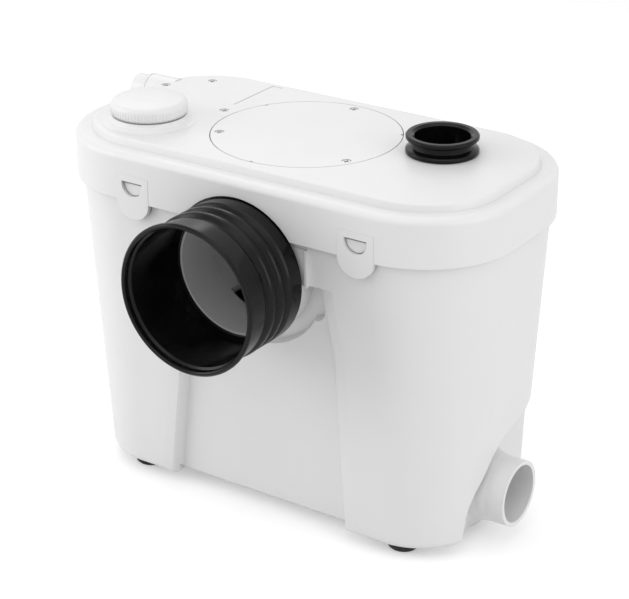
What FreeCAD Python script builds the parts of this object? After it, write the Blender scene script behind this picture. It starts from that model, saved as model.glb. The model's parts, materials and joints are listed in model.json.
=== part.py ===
import FreeCAD, Part
import math
import os

import Sketcher

# Floor-standing macerator pump unit. Millimetres, +Z up, +X along the case.
# Pieces are drawn about the middle of the case, and the finished sub-parts stand
# so that the origin is on the floor under the middle of the whole unit.

SIZES = {
    # case
    "base_height": 8.5,
    "tank_top_length": 343.0,
    "tank_top_depth": 172.0,
    "tank_top_corner": 65.0,
    "tank_draft": 12.5,
    "tank_wall_top": 231.0,
    "tank_rim_top": 256.0,
    "tank_base_rounding": 5.5,
    "wall": 3.0,
    # front recess and the deeper niche round the pan inlet
    "recess_left": 75.2,
    "recess_left_lean": 0.155,
    "recess_right": 74.0,
    "recess_right_lean": 0.03,
    "recess_bend_height": 150.0,
    "recess_bend": 40.0,
    "recess_right_top": 57.0,
    "recess_depth": 9.5,
    "recess_spread": 3.0,
    "recess_edge_spread": 8.0,
    "recess_foot": 3.5,
    "niche_depth": 15.0,
    "niche_radius": 57.5,
    "niche_round": 56.0,
    "niche_bay": 60.0,
    "niche_bay_top": 52.0,
    "niche_foot": 170.0,
    "niche_spread": 5.0,
    "niche_edge_spread": 10.0,
    "niche_corner": 7.0,
    "seat_half_width": 55.0,
    "seat_face": 86.2,
    "seat_top": 225.0,
    "seat_rib": 2.0,
    "seat_rib_rise": 1.2,
    # pan inlet
    "inlet_height": 198.5,
    "spigot_radius": 48.5,
    "spigot_wall": 4.0,
    "spigot_mouth": 94.0,
    "spigot_inner_end": 58.0,
    "tongue_end": 42.0,
    "tongue_side": 30.5,
    "tongue_top": 20.0,
    "tongue_step": 0.5,
    "sleeve_back": 88.3,
    "sleeve_length": 62.0,
    "sleeve_cuff_radius": 52.8,
    "sleeve_front_radius": 51.4,
    "sleeve_lip_radius": 54.0,
    "sleeve_bore_radius": 49.0,
    "sleeve_cuff_length": 15.0,
    "sleeve_ribs_end": 41.5,
    "sleeve_first_rib": 19.4,
    "sleeve_rib_pitch": 10.8,
    "sleeve_rib_rise": 1.2,
    "sleeve_rib_width": 5.4,
    "sleeve_groove": 1.5,
    # side inlet
    "stub_height": 38.3,
    "stub_offset": 3.7,
    "stub_radius": 24.1,
    "stub_bore": 21.1,
    "stub_reach": 177.2,
    "alcove_face": 146.0,
    "alcove_foot": 44.5,
    "alcove_shoulder": 40.0,
    "alcove_shoulder_height": 42.0,
    "alcove_shoulder_round": 40.0,
    "alcove_crown": 12.0,
    "alcove_crown_height": 76.0,
    "alcove_crown_round": 50.0,
    "alcove_rear": 40.0,
    "alcove_top": 91.0,
    # lid
    "lid_length": 350.0,
    "lid_depth": 182.0,
    "lid_corner": 69.0,
    "skirt_bottom": 229.8,
    "ledge_height": 264.4,
    "lid_top": 270.0,
    "lid_thickness": 3.0,
    "shoulder_rounding": 5.0,
    "plateau_foot_inset": 12.0,
    "plateau_inset": 13.6,
    "plateau_rounding": 1.8,
    "gasket_height": 2.5,
    # snap tabs
    "tab_right": 95.6,
    "tab_left": 89.0,
    "tab_width": 28.4,
    "tab_bottom": 216.5,
    "tab_corner": 13.6,
    "tab_rise": 0.15,
    "window_radius": 8.8,
    "window_top": 244.0,
    "window_straight": 1.8,
    "catch_gap": 0.5,
    "catch_face": 88.8,
    # motor cover
    "motor_x": -3.5,
    "cover_radius": 67.6,
    "cover_thickness": 3.5,
    "cover_gap": 0.6,
    "cover_opening": 55.0,
    "cover_screw_circle": 61.5,
    "lid_boss_radius": 72.0,
    "lid_boss_bottom": 258.0,
    "screw_head_radius": 3.1,
    "screw_shank_radius": 1.8,
    "screw_hole_gap": 0.3,
    # vent
    "vent_x": -114.0,
    "vent_y": -37.0,
    "vent_radius": 27.6,
    "vent_collar_top": 275.0,
    "vent_gap": 0.5,
    "vent_side": 10.0,
    "vent_crown": 2.6,
    "vent_bore": 20.0,
    "vent_ring": 19.4,
    "vent_rounding": 4.0,
    "vent_lug_reach": 22.5,
    "vent_lug_width": 8.0,
    "vent_lug_bottom": 259.5,
    "vent_collar_depth": 4.0,
    # top inlet
    "top_x": 95.1,
    "top_y": 19.7,
    "top_flange_radius": 25.4,
    "top_waist_radius": 21.8,
    "top_bore": 19.4,
    "top_rim_height": 283.4,
    "top_flange": 3.4,
    "top_neck": 21.0,
    # discharge
    "riser_x": -132.0,
    "riser_y": 44.0,
    "outlet_height": 257.9,
    "outlet_end": 188.0,
    "outlet_radius": 11.0,
    "outlet_bore": 8.5,
    "outlet_bend": 18.0,
    "outlet_hood_radius": 13.0,
    "outlet_hood_end": 150.0,
    "outlet_hood_mouth": 174.0,
    "outlet_collar": 2.0,
    "riser_radius": 12.5,
    "riser_bore": 10.0,
    "riser_bend": 25.0,
    "riser_foot": 57.0,
    "valve_bottom": 180.0,
    "valve_seat": 197.7,
    "valve_top": 232.0,
    "valve_radius": 21.0,
    "valve_chamber": 17.5,
    "valve_pin_offset": 14.5,
    "valve_flap_radius": 13.0,
    # motor
    "housing_radius": 46.5,
    "housing_bore": 43.5,
    "housing_flange_radius": 68.0,
    "housing_floor": 169.0,
    "hub_radius": 16.0,
    "hub_bottom": 150.0,
    "bearing_radius": 11.0,
    "bearing_width": 7.0,
    "stator_radius": 42.0,
    "stator_bore": 24.0,
    "stator_bottom": 186.0,
    "stator_height": 38.0,
    "winding_radius": 37.0,
    "winding_height": 8.5,
    "rotor_radius": 23.3,
    "shaft_radius": 5.0,
    "shaft_top": 246.0,
    "shaft_bottom": 43.0,
    "shield_bottom": 238.0,
    "shield_thickness": 3.0,
    # cutter and pump
    "blade_span": 96.0,
    "blade_width": 15.0,
    "blade_height": 92.0,
    "blade_thickness": 3.0,
    "basket_radius": 62.0,
    "basket_wall": 2.0,
    "basket_top": 146.0,
    "basket_slot_width": 4.0,
    "volute_radius": 53.0,
    "volute_flange_radius": 64.0,
    "volute_flange": 5.0,
    "volute_chamber": 46.0,
    "volute_bottom": 42.0,
    "volute_top": 74.0,
    "volute_roof": 6.0,
    "suction_thickness": 4.0,
    "eye_radius": 18.0,
    "impeller_radius": 42.0,
    "impeller_height": 15.0,
    "leg_circle": 58.5,
    "leg_radius": 4.5,
    # level switch
    "switch_x": 100.0,
    "switch_y": -40.0,
    "dip_radius": 14.0,
    "dip_bottom": 22.0,
    "switch_radius": 22.0,
    "switch_bottom": 226.0,
    # feet and cable way
    "foot_x": 113.0,
    "foot_y": 52.5,
    "foot_radius": 11.5,
    "strip_x": -78.0,
    "strip_width": 9.0,
    "strip_start": 22.0,
    "strip_end": 72.0,
    "strip_thickness": 2.0,
    "strip_gap": 0.25,
    "gland_bore": 3.5,
    "gland_height": 255.0,
    "gland_radius": 4.5,
    "gland_boss_radius": 5.5,
    "gland_reach": 97.0,
    "cable_way_width": 13.0,
    "cable_way_bottom": 249.0,
    "clearance": 0.3,
    "running_gap": 0.04,
}

V = FreeCAD.Vector
doc = FreeCAD.newDocument("sewage_pump")
sheet = doc.addObject("Spreadsheet::Sheet", "Sheet")
for row, (alias, number) in enumerate(SIZES.items(), start=1):
    sheet.set(f"A{row}", alias)
    sheet.set(f"B{row}", str(number))
    sheet.setAlias(f"B{row}", alias)
doc.recompute()


class Size:
    """A length with the sheet formula that gives it."""

    def __init__(self, value, formula):
        self.value = float(value)
        self.formula = formula

    def join(self, other, mark, value):
        return Size(value, f"({self.formula} {mark} {other.formula})")

    def __add__(self, other):
        other = as_size(other)
        return self.join(other, "+", self.value + other.value)

    def __sub__(self, other):
        other = as_size(other)
        return self.join(other, "-", self.value - other.value)

    def __mul__(self, other):
        other = as_size(other)
        return self.join(other, "*", self.value * other.value)

    def __truediv__(self, other):
        other = as_size(other)
        return self.join(other, "/", self.value / other.value)

    def __neg__(self):
        return Size(-self.value, f"(0 - {self.formula})")

    def __radd__(self, other):
        return as_size(other) + self

    def __rsub__(self, other):
        return as_size(other) - self


def as_size(number):
    """A plain number as a Size."""
    if isinstance(number, Size):
        return number
    return Size(number, f"({number})")


class Sheet:
    """Gives each named size as an attribute."""

    def __getattr__(self, name):
        return Size(float(sheet.get(name)), f"Sheet.{name}")


d = Sheet()
kept = []
stands = {}


# Helpers that draw and bind


def bind(thing, prop, length):
    """Sets a property from a size."""
    thing.setExpression(prop, as_size(length).formula)


def place(thing, x=0, y=0, z=0, rotation=None):
    """Gives a piece its Placement, bound to sizes."""
    stands[thing.Name] = (x, y, z)
    base = V(as_size(x).value, as_size(y).value, as_size(z).value)
    thing.Placement = FreeCAD.Placement(base, rotation or FreeCAD.Rotation())
    for axis, length in zip("xyz", (x, y, z)):
        bind(thing, f"Placement.Base.{axis}", length)


def turned_to(direction):
    """The rotation that lays a piece's own Z along a direction."""
    return FreeCAD.Rotation(V(0, 0, 1), V(*direction))


def keep(thing, label):
    """Marks a finished sub-part, stands it about the unit's middle and names its file."""
    x, y, z = stands.get(thing.Name, (0, 0, 0))
    place(thing, middle_x + x, middle_y + y, z, thing.Placement.Rotation)
    thing.Label = label
    kept.append(thing)
    return thing


def body(name):
    return doc.addObject("PartDesign::Body", name)


def sketch(owner, name, role, offset=None):
    """A sketch on one of the body's own origin planes."""
    drawn = owner.newObject("Sketcher::SketchObject", name)
    plane = next(f for f in owner.Origin.OriginFeatures if f.Role == role)
    drawn.AttachmentSupport = [(plane, "")]
    drawn.MapMode = "FlatFace"
    if offset is not None:
        drawn.AttachmentOffset.Base = V(0, 0, as_size(offset).value)
        bind(drawn, "AttachmentOffset.Base.z", offset)
    return drawn


def pin(drawn, geometry, point, x, y):
    """Holds one point of a sketch at a pair of sizes."""
    for kind, axis, length in (("DistanceX", -2, as_size(x)), ("DistanceY", -1, as_size(y))):
        if abs(length.value) < 1e-9:
            drawn.addConstraint(Sketcher.Constraint("PointOnObject", geometry, point, axis))
        else:
            rule = Sketcher.Constraint(kind, -1, 1, geometry, point, length.value)
            index = drawn.addConstraint(rule)
            drawn.setExpression(f"Constraints[{index}]", length.formula)


def outline(drawn, points, rounds=None):
    """A closed outline of straight sides, with some corners rounded."""
    rounds = rounds or {}
    corners = [V(as_size(x).value, as_size(y).value, 0) for x, y in points]
    count = len(corners)
    leave = list(corners)
    reach = list(corners)
    arcs = {}
    for i, radius in rounds.items():
        before = (corners[i - 1] - corners[i]).normalize()
        after = (corners[(i + 1) % count] - corners[i]).normalize()
        half = before.getAngle(after) / 2
        size = as_size(radius).value
        reach[i] = corners[i] + before * (size / math.tan(half))
        leave[i] = corners[i] + after * (size / math.tan(half))
        centre = corners[i] + (before + after).normalize() * (size / math.sin(half))
        arcs[i] = arc_between(centre, size, reach[i], leave[i])
    first = drawn.GeometryCount
    sides = [Part.LineSegment(leave[i], reach[(i + 1) % count]) for i in range(count)]
    drawn.addGeometry(sides, False)
    for i in range(count):
        before = first + (i - 1) % count
        after = first + i
        if i in rounds:
            round_corner(drawn, before, after, arcs[i], rounds[i], points[i])
        else:
            drawn.addConstraint(Sketcher.Constraint("Coincident", before, 2, after, 1))
            pin(drawn, after, 1, *points[i])


def arc_between(centre, radius, start, end):
    """The short arc between two points, and whether it runs backwards."""
    angles = [math.atan2(point.y - centre.y, point.x - centre.x) for point in (start, end)]
    backwards = (angles[1] - angles[0]) % (2 * math.pi) > math.pi
    if backwards:
        angles.reverse()
    return Part.ArcOfCircle(Part.Circle(centre, V(0, 0, 1), radius), *angles), backwards


def round_corner(drawn, before, after, arc, radius, corner):
    """Adds a corner's arc, tangent to both sides, with the sharp corner held at its sizes."""
    shape, backwards = arc
    index = drawn.addGeometry(shape, False)
    start, end = (2, 1) if backwards else (1, 2)
    drawn.addConstraint(Sketcher.Constraint("Tangent", before, 2, index, start))
    drawn.addConstraint(Sketcher.Constraint("Tangent", index, end, after, 1))
    rule = drawn.addConstraint(Sketcher.Constraint("Radius", index, as_size(radius).value))
    drawn.setExpression(f"Constraints[{rule}]", as_size(radius).formula)
    x, y = corner
    point = drawn.addGeometry(Part.Point(V(as_size(x).value, as_size(y).value, 0)), True)
    drawn.addConstraint(Sketcher.Constraint("PointOnObject", point, 1, before))
    drawn.addConstraint(Sketcher.Constraint("PointOnObject", point, 1, after))
    pin(drawn, point, 1, x, y)


def circle(drawn, x, y, radius):
    """A circle at a pair of sizes."""
    centre = V(as_size(x).value, as_size(y).value, 0)
    index = drawn.addGeometry(Part.Circle(centre, V(0, 0, 1), as_size(radius).value), False)
    pin(drawn, index, 3, x, y)
    rule = drawn.addConstraint(Sketcher.Constraint("Radius", index, as_size(radius).value))
    drawn.setExpression(f"Constraints[{rule}]", as_size(radius).formula)


def rounded_rectangle(drawn, length, depth, corner):
    """A rectangle about the origin with round corners."""
    a = length.value / 2
    b = depth.value / 2
    r = corner.value
    quarter = math.pi / 2
    sides = []
    for turn, (cx, cy) in enumerate(((a - r, r - b), (a - r, b - r), (r - a, b - r), (r - a, r - b))):
        start = (turn - 1) * quarter
        sides.append(Part.ArcOfCircle(Part.Circle(V(cx, cy, 0), V(0, 0, 1), r), start, start + quarter))
    lines = [
        Part.LineSegment(V(a, r - b, 0), V(a, b - r, 0)),
        Part.LineSegment(V(a - r, b, 0), V(r - a, b, 0)),
        Part.LineSegment(V(-a, b - r, 0), V(-a, r - b, 0)),
        Part.LineSegment(V(r - a, -b, 0), V(a - r, -b, 0)),
    ]
    drawn.addGeometry(sides + lines, False)
    rules = []
    for i in range(4):
        rules.append(Sketcher.Constraint("Tangent", i, 2, 4 + i, 1))
        rules.append(Sketcher.Constraint("Tangent", 4 + i, 2, (i + 1) % 4, 1))
    rules += [Sketcher.Constraint("Equal", 0, i) for i in (1, 2, 3)]
    rules += [Sketcher.Constraint("Vertical", 4), Sketcher.Constraint("Horizontal", 5)]
    rules.append(Sketcher.Constraint("Symmetric", 0, 3, 2, 3, -1, 1))
    drawn.addConstraint(rules)
    for kind, index, point, span in (("DistanceX", 4, 1, length / 2), ("DistanceY", 5, 1, depth / 2)):
        rule = drawn.addConstraint(Sketcher.Constraint(kind, -1, 1, index, point, span.value))
        drawn.setExpression(f"Constraints[{rule}]", span.formula)
    rule = drawn.addConstraint(Sketcher.Constraint("Radius", 0, corner.value))
    drawn.setExpression(f"Constraints[{rule}]", corner.formula)


def pad(owner, profile, length, reverse=False, both=False):
    """A straight pad of a sketch."""
    made = owner.newObject("PartDesign::Pad", "Pad")
    made.Profile = profile
    bind(made, "Length", length)
    made.Reversed = reverse
    made.Midplane = both
    return made


def tapered_pad(owner, profile, length, outward):
    """A pad whose sides lean outward by a distance over its length."""
    made = pad(owner, profile, length)
    made.TaperAngle = math.degrees(math.atan(outward.value / length.value))
    made.setExpression("TaperAngle", f"atan({outward.formula} / {length.formula})")
    return made


def round_edges(owner, chosen, radius):
    """Rounds the edges of the body's tip that the test chooses."""
    doc.recompute()
    tip = owner.Tip
    names = [f"Edge{i}" for i, edge in enumerate(tip.Shape.Edges, start=1) if chosen(edge)]
    made = owner.newObject("PartDesign::Fillet", "Fillet")
    made.Base = (tip, names)
    bind(made, "Radius", radius)
    return made


def at_height(height):
    """Tests that an edge lies flat at a height."""
    level = as_size(height).value
    return lambda edge: max(abs(edge.BoundBox.ZMin - level), abs(edge.BoundBox.ZMax - level)) < 0.01


def ring_edge(radius, height):
    """Tests that an edge is a full circle of a radius at a height."""
    reach = as_size(radius).value
    level = at_height(height)
    return lambda edge: level(edge) and abs(edge.BoundBox.XMax - reach) < 0.01


def turned(name, profile, rounds=None):
    """A piece turned about its own Z from (radius, height) corners."""
    made = body(name)
    drawn = sketch(made, name + "_profile", "XZ_Plane")
    outline(drawn, profile, rounds)
    spin = made.newObject("PartDesign::Revolution", "Revolution")
    spin.Profile = drawn
    spin.ReferenceAxis = (drawn, ["V_Axis"])
    spin.Angle = 360
    return made


def ring(name, outer, inner, bottom, top):
    """A plain ring."""
    return turned(name, [(inner, bottom), (outer, bottom), (outer, top), (inner, top)])


def disc(name, radius, bottom, top):
    """A plain disc."""
    return turned(name, [(0, bottom), (radius, bottom), (radius, top), (0, top)])


def prism(name, role, start, length, points):
    """A straight prism of an outline, from one level along its sketch's normal."""
    made = body(name)
    drawn = sketch(made, name + "_outline", role, start)
    outline(drawn, points)
    pad(made, drawn, length)
    return made


def block(name, low, high):
    """A box between two corners."""
    made = doc.addObject("Part::Box", name)
    place(made, *low)
    for prop, a, b in zip(("Length", "Width", "Height"), low, high):
        bind(made, prop, as_size(b) - as_size(a))
    return made


def rod(name, radius, length, at, direction=(0, 0, 1)):
    """A cylinder from a point along a direction."""
    made = doc.addObject("Part::Cylinder", name)
    bind(made, "Radius", radius)
    bind(made, "Height", length)
    place(made, *at, turned_to(direction))
    return made


def fuse(name, pieces):
    made = doc.addObject("Part::MultiFuse", name)
    made.Shapes = pieces
    return made


def cut(name, base, tool):
    made = doc.addObject("Part::Cut", name)
    made.Base = base
    made.Tool = tool
    return made


def common(name, base, tool):
    made = doc.addObject("Part::Common", name)
    made.Base = base
    made.Tool = tool
    return made


def group(name, pieces):
    """Alike pieces kept in one sub-part as separate solids."""
    made = doc.addObject("Part::Compound", name)
    made.Links = pieces
    return made


def round_the(centre_x, centre_y, circle_radius, angles):
    """Places at the given angles on a circle."""
    places = []
    for angle in angles:
        x = as_size(circle_radius) * math.cos(math.radians(angle)) + centre_x
        y = as_size(circle_radius) * math.sin(math.radians(angle)) + centre_y
        places.append((x, y))
    return places


# Levels and lines that several pieces share

FRONT = (0, -1, 0)
BACK = (0, 1, 0)
RIGHT = (1, 0, 0)
LEFT = (-1, 0, 0)

middle_x = (d.outlet_end - d.stub_reach) / 2
middle_y = (d.sleeve_back + d.sleeve_length - d.gland_reach) / 2
rim_inset = d.lid_thickness + 3.5
rim_length = d.lid_length - rim_inset * 2
rim_depth = d.lid_depth - rim_inset * 2
rim_corner = d.lid_corner - rim_inset
gasket_top = d.tank_rim_top + d.gasket_height
lid_under_ledge = d.ledge_height - d.lid_thickness
lid_under_top = d.lid_top - d.lid_thickness
cover_bottom = d.lid_top - d.cover_thickness
seal_bottom = cover_bottom - 1.5
seal_width = 2
window_middle = d.window_top - d.window_straight
tab_places = [(side, x) for side in (-1, 1) for x in (d.tab_right, -d.tab_left)]
wall_run = d.tank_wall_top - d.base_height
wall_lean = d.tank_draft / wall_run
screw_angles = (90, 210, 330)
vent_turn = 60
housing_screw_angles = (30, 150, 270)
blade_top = d.blade_height + d.blade_thickness
impeller_bottom = d.volute_bottom + 7
impeller_top = impeller_bottom + d.impeller_height
flap_height = d.stub_height + d.stub_radius + 4


def front_wall(height):
    """How far the plain front wall stands from the middle at a height."""
    return d.tank_top_depth / 2 - wall_lean * (d.tank_wall_top - height)


# Case


def hollow(name, depth, grow, spread, edge_spread, corners, rounds):
    """A hollow in the leaning front wall, whose sides spread more and more towards the wall's face.

    The corners are a function that gives the floor's outline moved out by a distance."""
    steps = [
        (as_size(0), as_size(0)),
        (depth * 0.45, spread * 0.45),
        (depth * 0.75, spread * 0.85),
        (depth * 0.92, spread * 1.3),
    ]
    if grow.value:
        steps = steps[:1]
    tucked = as_size(0.3)
    lean = math.degrees(math.atan(wall_lean.value))
    made = []
    for index, (height, out) in enumerate(steps):
        stage = body(f"{name}_stage")
        drawn = sketch(stage, f"{name}_outline", "XZ_Plane", height)
        moved = out + grow - (tucked if index else as_size(0))
        outline(drawn, corners(moved), {i: radius + moved for i, radius in rounds.items()})
        last = index == len(steps) - 1
        rise = depth + grow + 6 - height
        if grow.value:
            run = spread * rise / depth * 1.3
        elif last:
            run = edge_spread * rise / (depth - height)
        else:
            next_height, next_out = steps[index + 1]
            run = (next_out - out) * rise / (next_height - height)
        tapered_pad(stage, drawn, rise, run)
        floor = depth + grow - front_wall(0)
        place(stage, 0, floor, 0, FreeCAD.Rotation(V(1, 0, 0), lean))
        stage.setExpression("Placement.Rotation.Angle", f"atan({wall_lean.formula})")
        made.append(stage)
    return made


def recess_corners(out):
    """The shallow recess's floor outline, from below the base to above the pan inlet's middle."""
    low = as_size(-20)
    high = d.inlet_height + 25
    right_low = d.recess_right - d.recess_right_lean * low
    right_bend = d.recess_right - d.recess_right_lean * d.recess_bend_height
    left_low = d.recess_left - d.recess_left_lean * low
    left_high = d.recess_left - d.recess_left_lean * high
    return [
        (-left_low - out, low),
        (right_low + out, low),
        (right_bend + out, d.recess_bend_height),
        (d.recess_right_top + out, high),
        (-left_high - out, high),
    ]


def niche_corners(out):
    """The niche's floor outline: a half circle round the pan inlet's lower half."""
    radius = d.niche_radius + out
    high = d.inlet_height + 20
    low = d.inlet_height - radius
    return [(-radius, high), (-radius, low), (radius, low), (radius, high)]


def bay_corners(side):
    """The bay of the niche beside the pan inlet."""

    def corners(out):
        inner = as_size(side * 30)
        high = d.inlet_height + 20
        low = d.niche_foot - out
        foot = (d.niche_bay + out) * side
        top = (d.niche_bay_top + out) * side
        return [(inner, low), (foot, low), (top, high), (inner, high)]

    return corners


def front_hollows(name, grow):
    """The recess and the niche in the front wall, made bigger all round by a margin."""
    spreads = (d.recess_spread, d.recess_edge_spread)
    pieces = hollow(name + "_recess", d.recess_depth, grow, *spreads, recess_corners, {2: d.recess_bend})
    spreads = (d.niche_spread, d.niche_edge_spread)
    rounds = {1: d.niche_round, 2: d.niche_round}
    pieces += hollow(name + "_niche", d.niche_depth, grow, *spreads, niche_corners, rounds)
    for side in (-1, 1):
        rounds = {1: d.niche_corner}
        pieces += hollow(name + "_bay", d.niche_depth, grow, *spreads, bay_corners(side), rounds)
    reach = as_size(200)
    cap = block(name + "_cap", (-reach, -reach, -20), (reach, 0, d.inlet_height + grow))
    return common(name, fuse(name + "_all", pieces), cap)


def recess_foot():
    """The sloped foot of the recess, which follows the rounding round the base."""
    made = body("recess_foot")
    drawn = sketch(made, "recess_foot_outline", "YZ_Plane", -d.recess_left)
    floor = d.recess_depth - front_wall(d.base_height)
    base = d.base_height
    spare = 3
    outline(drawn, [
        (floor - spare, base - spare),
        (floor + d.recess_foot + spare, base - spare),
        (floor - spare, base + d.recess_foot + spare),
    ])
    pad(made, drawn, d.recess_left + d.recess_right)
    return made


def alcove_tool(grow):
    """The alcove in the right end, made bigger by a margin. It runs out through the rear corner."""
    made = body("alcove_tool")
    drawn = sketch(made, "alcove_outline", "YZ_Plane", d.alcove_face - grow)
    bottom = as_size(-10)
    rear = d.tank_top_depth / 2
    points = [
        (-d.alcove_foot - grow, bottom),
        (rear, bottom),
        (rear, d.alcove_top + grow),
        (d.alcove_rear, d.alcove_top + grow),
        (-d.alcove_crown - grow / 2, d.alcove_crown_height + grow),
        (-d.alcove_shoulder - grow, d.alcove_shoulder_height + grow / 2),
    ]
    outline(drawn, points, {4: d.alcove_crown_round, 5: d.alcove_shoulder_round})
    pad(made, drawn, 40)
    return made


def tank_form(inset):
    """The drafted case body with its rim, moved in by a wall."""
    made = body("tank_form")
    grown = d.tank_draft + inset
    low = d.base_height + inset
    foot = sketch(made, "foot", "XY_Plane", low)
    length = d.tank_top_length - grown * 2
    depth = d.tank_top_depth - grown * 2
    rounded_rectangle(foot, length, depth, d.tank_top_corner - grown)
    height = d.tank_wall_top - low
    tapered_pad(made, foot, height, wall_lean * height)
    round_edges(made, at_height(low), d.tank_base_rounding - inset)
    rim = sketch(made, "rim", "XY_Plane", d.tank_wall_top - inset)
    rounded_rectangle(rim, rim_length - inset * 2, rim_depth - inset * 2, rim_corner - inset)
    pad(made, rim, d.tank_rim_top - d.tank_wall_top + inset * 2)
    return made


def outlet_notch(radius, name, deeper=0):
    """The round way for the discharge spigot through the rear left corner."""
    start = -d.outlet_end - 10
    length = d.outlet_end + 10 - d.outlet_hood_end + deeper
    return rod(name, radius, length, (start, d.riser_y, d.outlet_height), RIGHT)


def make_tank():
    """The moulded tank with pan spigot, side stub and snap catches."""
    outer = tank_form(as_size(0))
    shaped = cut("tank_hollowed", outer, front_hollows("front_hollows", as_size(0)))
    shaped = cut("tank_footed", shaped, recess_foot())
    shaped = cut("tank_alcoved", shaped, alcove_tool(as_size(0)))
    room = cut("room_hollowed", tank_form(d.wall), front_hollows("room_hollows", d.wall))
    room = cut("room_alcoved", room, alcove_tool(d.wall))
    shell = cut("tank_shell", shaped, room)
    seat_back = -front_wall(d.inlet_height) + 1.5
    side = d.seat_half_width
    seat = block("inlet_seat", (-side, -d.seat_face, d.inlet_height), (side, seat_back, d.seat_top))
    ribs = []
    for x in (-side, side - d.seat_rib):
        low = (x, -d.seat_face - d.seat_rib_rise, d.inlet_height - 0.5)
        ribs.append(block("seat_rib", low, (x + d.seat_rib, seat_back, d.seat_top)))
    spigot_length = d.spigot_mouth - d.spigot_inner_end
    spigot_at = (0, -d.spigot_inner_end, d.inlet_height)
    spigot = rod("spigot", d.spigot_radius, spigot_length, spigot_at, FRONT)
    inner_reach = d.alcove_face - d.wall - 3
    stub_at = (inner_reach, -d.stub_offset, d.stub_height)
    stub = rod("stub", d.stub_radius, d.stub_reach - inner_reach, stub_at, RIGHT)
    flare = turned("stub_flare", [
        (0, 0),
        (d.stub_radius + 9, 0),
        (d.stub_radius + 6, 1.5),
        (d.stub_radius + 3, 5),
        (d.stub_radius + 1.2, 10),
        (d.stub_radius, 17),
        (0, 17),
    ])
    place(flare, d.alcove_face, -d.stub_offset, d.stub_height, turned_to(RIGHT))
    pieces = [shell, seat, spigot, stub, flare, inlet_tongue()] + ribs
    for index, (side, x) in enumerate(tab_places):
        pieces.append(catch(index, side, x))
    solid = fuse("tank_solid", pieces)
    bore_radius = d.spigot_radius - d.spigot_wall
    bores = [
        rod("spigot_bore", bore_radius, 60, (0, -d.spigot_inner_end + 10, d.inlet_height), FRONT),
        rod("stub_bore", d.stub_bore, 60, (inner_reach - 10, -d.stub_offset, d.stub_height), RIGHT),
        outlet_notch(d.outlet_hood_radius + d.gasket_height, "rim_notch"),
        cable_way("cable_notch", d.gasket_height, d.lid_top),
    ]
    for index, x in enumerate((-d.foot_x, d.foot_x)):
        for y in (-d.foot_y, d.foot_y):
            bores.append(rod("foot_seat", d.foot_radius + 0.2, 1, (x, y, d.base_height), (0, 0, 1)))
    return keep(cut("Tank", solid, fuse("tank_bores", bores)), "tank")


def inlet_tongue():
    """The tongue that leads from the inlet's lower left side past the motor bell."""
    start = -d.spigot_inner_end - 1
    length = d.spigot_inner_end + 1 - d.tongue_end
    at = (0, start, d.inlet_height)
    outer = rod("tongue_outer", d.spigot_radius, length, at, BACK)
    inner = rod("tongue_inner", d.spigot_radius - d.spigot_wall + d.tongue_step, length + 1, at, BACK)
    low = (-d.spigot_radius - 1, start, d.inlet_height - d.spigot_radius)
    high = (-d.tongue_side, -d.tongue_end, d.inlet_height + d.tongue_top)
    return common("tongue", cut("tongue_ring", outer, inner), block("tongue_where", low, high))


def catch(index, side, x):
    """A half-round catch on the rim that shows in its tab's window."""
    radius = d.window_radius - d.catch_gap
    face = d.catch_face
    root = rim_depth / 2 - 1
    if side < 0:
        at = (x, -root, window_middle)
        direction = FRONT
    else:
        at = (x, root, window_middle)
        direction = BACK
    drum = rod(f"catch_drum_{index}", radius, face - root, at, direction)
    reach = face + 5
    low = (x - radius - 1, -reach, window_middle - radius - 1)
    high = (x + radius + 1, reach, window_middle)
    return common(f"catch_{index}", drum, block(f"catch_half_{index}", low, high))


def lid_slab(name, inset, bottom, top):
    """A slab of the lid's outline moved in by an inset."""
    made = body(name)
    drawn = sketch(made, name + "_outline", "XY_Plane", bottom)
    inset = as_size(inset)
    rounded_rectangle(drawn, d.lid_length - inset * 2, d.lid_depth - inset * 2, d.lid_corner - inset)
    pad(made, drawn, top - bottom)
    return made


def lid_form():
    """The lid's outer form: skirt, rounded shoulder and raised plateau."""
    skirt = lid_slab("lid_skirt", 0, d.skirt_bottom, d.ledge_height)
    round_edges(skirt, at_height(d.ledge_height), d.shoulder_rounding)
    rise = body("lid_plateau")
    foot = d.ledge_height - 1
    inset = d.plateau_foot_inset
    drawn = sketch(rise, "plateau_foot", "XY_Plane", foot)
    rounded_rectangle(drawn, d.lid_length - inset * 2, d.lid_depth - inset * 2, d.lid_corner - inset)
    tapered_pad(rise, drawn, d.lid_top - foot, inset - d.plateau_inset)
    round_edges(rise, at_height(d.lid_top), d.plateau_rounding)
    return [skirt, rise]


def tab(index, side, x):
    """A snap tongue that hangs from the skirt, round at its lower corners."""
    half = d.tab_width / 2
    face = d.lid_depth / 2 + d.tab_rise
    depth = d.lid_thickness + d.tab_rise
    top = d.window_top + 5
    low_y = -face if side < 0 else face - depth
    foot = d.tab_bottom
    low = (x - half, low_y, foot + d.tab_corner)
    plate = block(f"tab_plate_{index}", low, (x + half, low_y + depth, top))
    flat = half - d.tab_corner
    sole = block(f"tab_sole_{index}", (x - flat, low_y, foot), (x + flat, low_y + depth, top))
    pieces = [plate, sole]
    for offset in (flat, -flat):
        at = (x + offset, low_y, foot + d.tab_corner)
        pieces.append(rod(f"tab_corner_{index}", d.tab_corner, depth, at, BACK))
    return fuse(f"tab_{index}", pieces)


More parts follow.
